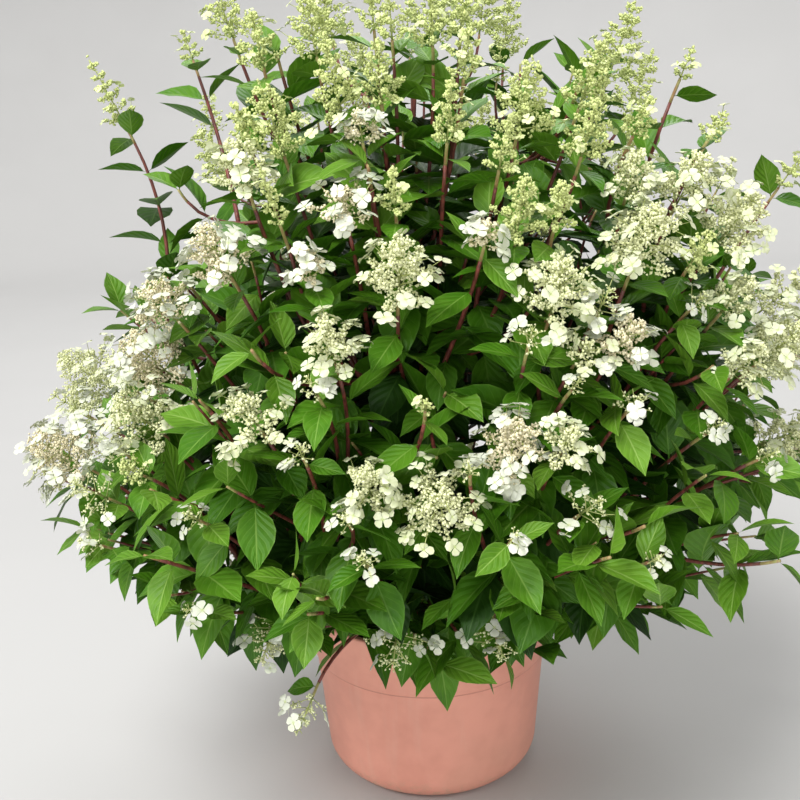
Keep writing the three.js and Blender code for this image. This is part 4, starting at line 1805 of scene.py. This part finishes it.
@dataclass
class Twigs:
    """The twigs of every shoot, as far as its last leaves: red and woody below, and green at the tip."""

    skeleton: Skeleton
    ends: Array
    foot_radius: float = 0.0045
    tip_radius: float = 0.0028
    green_share: float = 0.09
    sides: int = 6

    def build(self) -> None:
        """Builds and dresses the stems of the masses, the woody parts and the green parts."""
        red = BarkFinish("cane_bark", (0.235, 0.058, 0.04), (0.085, 0.02, 0.016), 150.0, 0.42, 0.0005)
        green = BarkFinish("new_shoot", (0.4, 0.4, 0.14), (0.32, 0.16, 0.08), 120.0, 0.45, 0.0003)
        woody, fresh = Patchwork(), Patchwork()
        shoots = self.skeleton.shoots
        size = np.array([0.8 if shoot.fine else 1.0 for shoot in shoots])[:, None]
        low = np.linspace(0, 1 - self.green_share, 11)
        high = np.linspace(0.995 - self.green_share, 1, 5)
        for work, shares, swelling in ((woody, low, 1.0), (fresh, high, 0.96)):
            paths = np.stack([on_path(shoot.path, end * shares) for shoot, end in zip(shoots, self.ends)])
            radii = size * swelling * mix(self.foot_radius, self.tip_radius, shares)[None]
            add_tubes(work, paths, radii, self.sides)
        stems = np.stack([bough.stem for bough in self.skeleton.boughs])
        tips = np.array([bough.tier.tip_radius for bough in self.skeleton.boughs])[:, None]
        radii = mix(tips * 0.9, self.foot_radius, np.linspace(0, 1, stems.shape[1]))
        add_tubes(woody, stems, radii, self.sides)
        place_piece("twigs_woody", woody, red.material())
        place_piece("twigs_green", fresh, green.material())


# Bloom


@dataclass(frozen=True)
class Opening:
    """What a head of bloom is made of at one stage."""

    buds: int
    florets: int
    bud_size: float
    petal: float
    finish: BloomFinish
    petals: BloomFinish
    thickness: float


WHITE = BloomFinish("petal_white", (0.7, 0.72, 0.61), (0.59, 0.62, 0.47), 40.0, 0.5, (0.5, 0.58, 0.26))
CREAM = BloomFinish("petal_cream", (0.7, 0.73, 0.52), (0.6, 0.64, 0.38), 40.0, 0.5, (0.5, 0.6, 0.22))
LIME = BloomFinish("petal_lime", (0.72, 0.77, 0.42), (0.6, 0.67, 0.3), 40.0, 0.5, (0.5, 0.62, 0.2))
GREEN_BUD = BloomFinish("bud_green", (0.71, 0.77, 0.34), (0.54, 0.62, 0.21), 150.0)
CREAM_BUD = BloomFinish("bud_cream", (0.86, 0.88, 0.56), (0.73, 0.76, 0.4), 150.0)
TAN_BUD = BloomFinish("bud_tan", (0.9, 0.85, 0.61), (0.79, 0.7, 0.45), 150.0)
STALK = BloomFinish("bloom_stalk", (0.54, 0.6, 0.24), (0.44, 0.49, 0.16), 60.0)
OPENINGS_BY_STAGE = {
    Stage.BUD: Opening(980, 9, 0.0029, 0.0092, GREEN_BUD, LIME, 1.0),
    Stage.OPENING: Opening(1060, 24, 0.003, 0.0138, CREAM_BUD, CREAM, 1.12),
    Stage.FULL: Opening(1100, 38, 0.0029, 0.0148, TAN_BUD, WHITE, 1.22),
    Stage.LOOSE: Opening(300, 13, 0.0024, 0.0146, CREAM_BUD, WHITE, 0.9),
}
OUTLINE_OUT = np.array([0.0, 0.2, 0.2, 0.58, 0.58, 0.9, 0.9, 1.0])
OUTLINE_WIDE = np.array([0.0, 0.17, -0.17, 0.5, -0.5, 0.38, -0.38, 0.0])
OUTLINE_LIFT = np.array([0.0, 0.02, 0.02, 0.1, 0.1, 0.05, 0.05, -0.03])
PETAL = np.array([[0, 2, 1], [1, 2, 4], [1, 4, 3], [3, 4, 6], [3, 6, 5], [5, 6, 7]])
PETAL_UV = np.stack([0.5 + OUTLINE_WIDE, OUTLINE_OUT], axis=1)
GRAIN = np.array([[0, 1, 3], [1, 2, 3], [2, 0, 3], [1, 0, 4], [2, 1, 4], [0, 2, 4]])


@dataclass(frozen=True)
class Head:
    """The frame of one head of bloom: its side stalks, with the thickness of the buds round each."""

    axis: Array
    starts: Array
    ends: Array
    outward: Array
    tiers: Array
    reach: float
    radii: Array


@dataclass
class Bloom:
    """Cone-shaped heads of small buds on branching stalks, with four-petalled florets round them."""

    skeleton: Skeleton
    allowed: tuple[Array, Array]
    full_height: float = 0.15
    full_width: float = 0.115
    random: np.random.Generator = field(default_factory=lambda: np.random.default_rng(11))

    def _head(self, shoot: Shoot, thickness: float) -> Head:
        """Grows the frame of a head: tiers of four side stalks round its axis.

        A tier at share t stands at 0.05 + 0.8 t of the head's height. For a reach r of about
        width/2·(1 - 0.7 t^1.3), its stalks go 0.86 r outwards and rise by 0.4 r.

        Args:
            shoot: the shoot that the head stands on.
            thickness: how thick the buds stand round a stalk, against those of a head in bud.

        Returns:
            The head.
        """
        base, axis = shoot.path[-1], unit(shoot.path[-1] - shoot.path[-3])
        side, over = across(axis)
        tiers = 6 if shoot.height > 0.09 else 4
        t = np.repeat(np.linspace(0, 1, tiers), 4)
        angle = np.tile(np.arange(4), tiers) * np.pi / 2 + np.repeat(np.arange(tiers), 4) * 0.79
        angle = angle + self.random.normal(0, 0.25, len(t)) + math.radians(shoot.turn)
        reach = 0.5 * shoot.width * (1 - 0.7 * t**1.3) * self.random.uniform(0.74, 1.06, len(t))
        outward = turned(side, over, angle)
        starts = base + axis * (shoot.height * (0.05 + 0.8 * t))[:, None]
        ends = starts + outward * (reach * 0.86)[:, None] + axis * (0.4 * reach)[:, None]
        top = base + axis * shoot.height * 0.95
        radii = 0.5 * shoot.width * thickness * mix(0.26, 0.16, t) * self.random.uniform(0.8, 1.2, len(t))
        starts, ends = np.concatenate([starts, base[None]]), np.concatenate([ends, top[None]])
        return Head(axis, starts, ends, outward, t, float(reach.max()), np.append(radii, radii[-1]))

    def _buds(self, head: Head, count: int) -> Array:
        """Scatters buds round the side stalks, in a brush that tapers to the end of each.

        A bud at share s of its stalk lies within radius·(1.25 - s)^0.6 of it, for s = r^0.8 and an even
        run of r from 0.3 to 1.1.

        Args:
            head: the head.
            count: how many buds it has.

        Returns:
            The buds' places.
        """
        share = head.radii * (0.25 * head.reach + np.linalg.norm(head.ends - head.starts, axis=1))
        share[-1] *= 0.4
        which = self.random.choice(len(share), count, p=share / share.sum())
        along = self.random.uniform(0.3, 1.1, count) ** 0.8
        away = unit(self.random.normal(0, 1, (count, 3)))
        far = head.radii[which] * (1.25 - along) ** 0.6 * self.random.uniform(0.35, 1.0, count) ** 0.5
        return mix(head.starts[which], head.ends[which], along[:, None]) + away * far[:, None]

    def _grains(self, places: Array, radii: Array) -> Array:
        """Makes each place a small grain: a ring of three corners between two points, turned at random.

        Args:
            places: the grains' middles.
            radii: their radii.

        Returns:
            Grains by corners by coordinates, with the two points last.
        """
        along = unit(self.random.normal(0, 1, (len(places), 3)))
        side, over = across(along)
        ring = turned(side[:, None], over[:, None], full_turn(3))
        ends = np.stack([along, -along], axis=1) * 1.12
        return places[:, None] + np.concatenate([ring, ends], axis=1) * radii[:, None, None]

    def _florets(self, head: Head, opening: Opening, count: int) -> tuple[Array, Array, Array]:
        """Places florets round the head, most of them low down, each turned up and outwards.

        Args:
            head: the head.
            opening: what it is made of.
            count: how many florets it has.

        Returns:
            The florets' places, the directions they face, and their petals' lengths.
        """
        weight = 1.15 - head.tiers
        which = self.random.choice(len(weight), count, p=weight / weight.sum())
        outward = unit(head.outward[which] + self.random.normal(0, 0.4, (count, 3)))
        facing = unit(0.5 * outward + 0.3 * head.axis + 0.62 * UP + self.random.normal(0, 0.28, (count, 3)))
        out = self.random.uniform(0.05, 0.4, count)[:, None] * head.reach
        lift = self.random.uniform(-0.002, 0.012, count)[:, None]
        place = head.ends[:-1][which] + outward * out + head.axis * lift
        return place, facing, opening.petal * self.random.uniform(0.78, 1.15, count)

    def _petals(self, places: Array, facing: Array, size: Array) -> Array:
        """Makes each floret of four broad petals: eight corners on an egg-shaped outline, and cupped.

        Args:
            places: the florets' middles.
            facing: the directions they face.
            size: the lengths of their petals.

        Returns:
            Petals by eight corners by coordinates.
        """
        side, over = across(facing)
        spin = self.random.uniform(0, 2 * np.pi, len(places))
        petals = []
        for quarter in range(4):
            angle = spin + quarter * np.pi / 2 + self.random.normal(0, 0.07, len(places))
            along = turned(side, over, angle)
            tangent = np.cross(facing, along)
            length = (size * self.random.uniform(0.85, 1.1, len(places)))[:, None, None]
            cup = self.random.uniform(-0.5, 3.0, len(places))[:, None, None]
            shape = (
                along[:, None] * OUTLINE_OUT[:, None] + tangent[:, None] * OUTLINE_WIDE[:, None]
                + facing[:, None] * (OUTLINE_LIFT[:, None] * cup)
            )
            petals.append(places[:, None] + length * shape)
        return np.concatenate(petals)

    def _stalks(self, work: Patchwork, head: Head, places: Array, scale: float) -> None:
        """Adds a head's stalks: its axis, the side stalks, and one to each floret from the nearest of them.

        Args:
            work: where the stalks go.
            head: the head.
            places: the florets' places.
            scale: how thick the stalks are, against those of a full head.
        """
        sides = np.stack([head.starts, mix(head.starts, head.ends, 0.5), head.ends], axis=1)
        radii = np.tile([0.0014, 0.0011, 0.0007], (len(sides), 1)) * scale
        radii[-1] = np.array([0.0023, 0.0018, 0.001]) * scale
        add_tubes(work, sides, radii, 3)
        along = mix(head.starts, head.ends, 0.75)
        start = along[np.argmin(np.sum((places[:, None] - along[None]) ** 2, axis=-1), axis=1)]
        radii = np.tile([0.0009, 0.0006], (len(places), 1))
        add_tubes(work, np.stack([start, places], axis=1), radii, 3)

    def _keep(self, shapes: Array) -> Array:
        """Returns the shapes that lie in the shrub's own room."""
        low, high = self.allowed
        return shapes[np.all((shapes > low) & (shapes < high), axis=(1, 2))]

    def build(self) -> None:
        """Grows and dresses every head of bloom, in one piece or more for each finish."""
        finishes = (GREEN_BUD, CREAM_BUD, TAN_BUD, LIME, CREAM, WHITE, STALK)
        works = {finish.name: Patchwork() for finish in finishes}
        for shoot in self.skeleton.shoots:
            if shoot.stage is Stage.LEAFY:
                continue
            opening = OPENINGS_BY_STAGE[shoot.stage]
            size = min(1.7, shoot.height * shoot.width / (self.full_height * self.full_width))
            head = self._head(shoot, opening.thickness)
            count = max(20, int(opening.buds * size * (0.5 if shoot.fine else 1)))
            buds = self._buds(head, count)
            radii = opening.bud_size * self.random.uniform(0.7, 1.2, len(buds))
            works[opening.finish.name].add(self._keep(self._grains(buds, radii)), GRAIN)
            florets = max(2, int(round(opening.florets * size**0.6)))
            place, facing, length = self._florets(head, opening, florets)
            petals = self._petals(place, facing, length)
            works[opening.petals.name].add(self._keep(petals), PETAL, PETAL_UV)
            self._stalks(works[STALK.name], head, place, 0.7 + 0.3 * min(size, 1.0))
        for finish in finishes:
            label = f"bloom_{finish.name.removeprefix('bloom_')}"
            place_piece(label, works[finish.name], finish.material())


# Studio


@dataclass(frozen=True)
class SoftLight:
    """A square soft box that points at the shrub."""

    name: str
    place: tuple[float, float, float]
    size: float
    power: float

    def build(self) -> None:
        """Makes the light and turns it to the middle of the crown."""
        data = bpy.data.lights.new(self.name, "AREA")
        data.shape = "SQUARE"
        data.size = self.size
        data.energy = self.power
        light = put_in_scene(self.name, data)
        light.visible_camera = False
        ahead = unit(np.array([0.0, 0.0, 0.8]) - np.array(self.place))
        side = across(ahead)[0]
        aim(light, self.place, side, np.cross(-ahead, side), ahead)


@dataclass(frozen=True)
class Studio:
    """A pale floor that sweeps up all round far from the shrub, an even surround and soft boxes above."""

    floor_reach: float = 17.0
    sweep_start: float = 8.0
    sweep_height: float = 6.0
    floor_steps: int = 96
    surround: Colour = (0.84, 0.84, 0.84)
    strength: float = 0.36
    lights: tuple[SoftLight, ...] = (
        SoftLight("key_box", (-4.4, -6.0, 11.2), 7.0, 2080.0),
        SoftLight("fill_box", (7.6, -5.6, 7.0), 6.0, 170.0),
        SoftLight("front_box", (-0.6, -7.0, 1.7), 3.4, 130.0),
        SoftLight("back_box", (1.6, 8.4, 10.0), 7.2, 800.0),
    )

    def _floor(self) -> None:
        """Makes the floor: a grid whose height is the sweep's height times the ramp of the distance."""
        line = np.linspace(-self.floor_reach, self.floor_reach, self.floor_steps)
        y, x = np.meshgrid(line, line, indexing="ij")
        z = self.sweep_height * ramp(np.hypot(x, y), self.sweep_start, self.floor_reach)
        work = Patchwork()
        grid = np.stack([x, y, z], axis=-1).reshape(1, -1, 3)
        work.add(grid, grid_triangles(len(line), len(line), False))
        floor = put_in_scene("floor", work.mesh("floor"))
        floor.data.materials.append(FloorFinish().material())

    def build(self) -> None:
        """Makes the floor, the surround and the lights."""
        self._floor()
        world = bpy.data.worlds.new("surround")
        world.use_nodes = True
        background = world.node_tree.nodes["Background"]
        background.inputs["Color"].default_value = (*self.surround, 1.0)
        background.inputs["Strength"].default_value = self.strength
        bpy.context.scene.world = world
        for light in self.lights:
            light.build()
        bpy.context.scene.view_settings.view_transform = "Standard"


def allowed_room() -> tuple[Array, Array]:
    """The room that leaves and bloom keep to: the solids' box, let out by 0.02 of each side but its foot.

    Returns:
        The lowest and the highest corner.
    """
    low, high = np.array(CAD_BOX[0]), np.array(CAD_BOX[1])
    margin = 0.02 * (high - low)
    return low - margin * np.array([1, 1, 0]), high + margin


def main() -> None:
    """Builds the shrub, its planter, the studio and the camera."""
    logging.basicConfig(level=logging.INFO, format="%(message)s", stream=sys.stdout)
    for add_group in (add_mottle_group, add_vein_group, add_bark_group):
        add_group()
    viewpoint = Viewpoint()
    room = allowed_room()
    skeleton = Skeleton(Crown(), viewpoint, room)
    skeleton.grow()
    log.info("skeleton: %d boughs, %d shoots", len(skeleton.boughs), len(skeleton.shoots))
    Planter().build()
    Compost().build()
    Wood(skeleton).build()
    foliage = Foliage(skeleton, room)
    foliage.build()
    Twigs(skeleton, foliage.ends).build()
    Bloom(skeleton, room).build()
    Studio().build()
    viewpoint.camera()


if __name__ == "__main__":
    main()
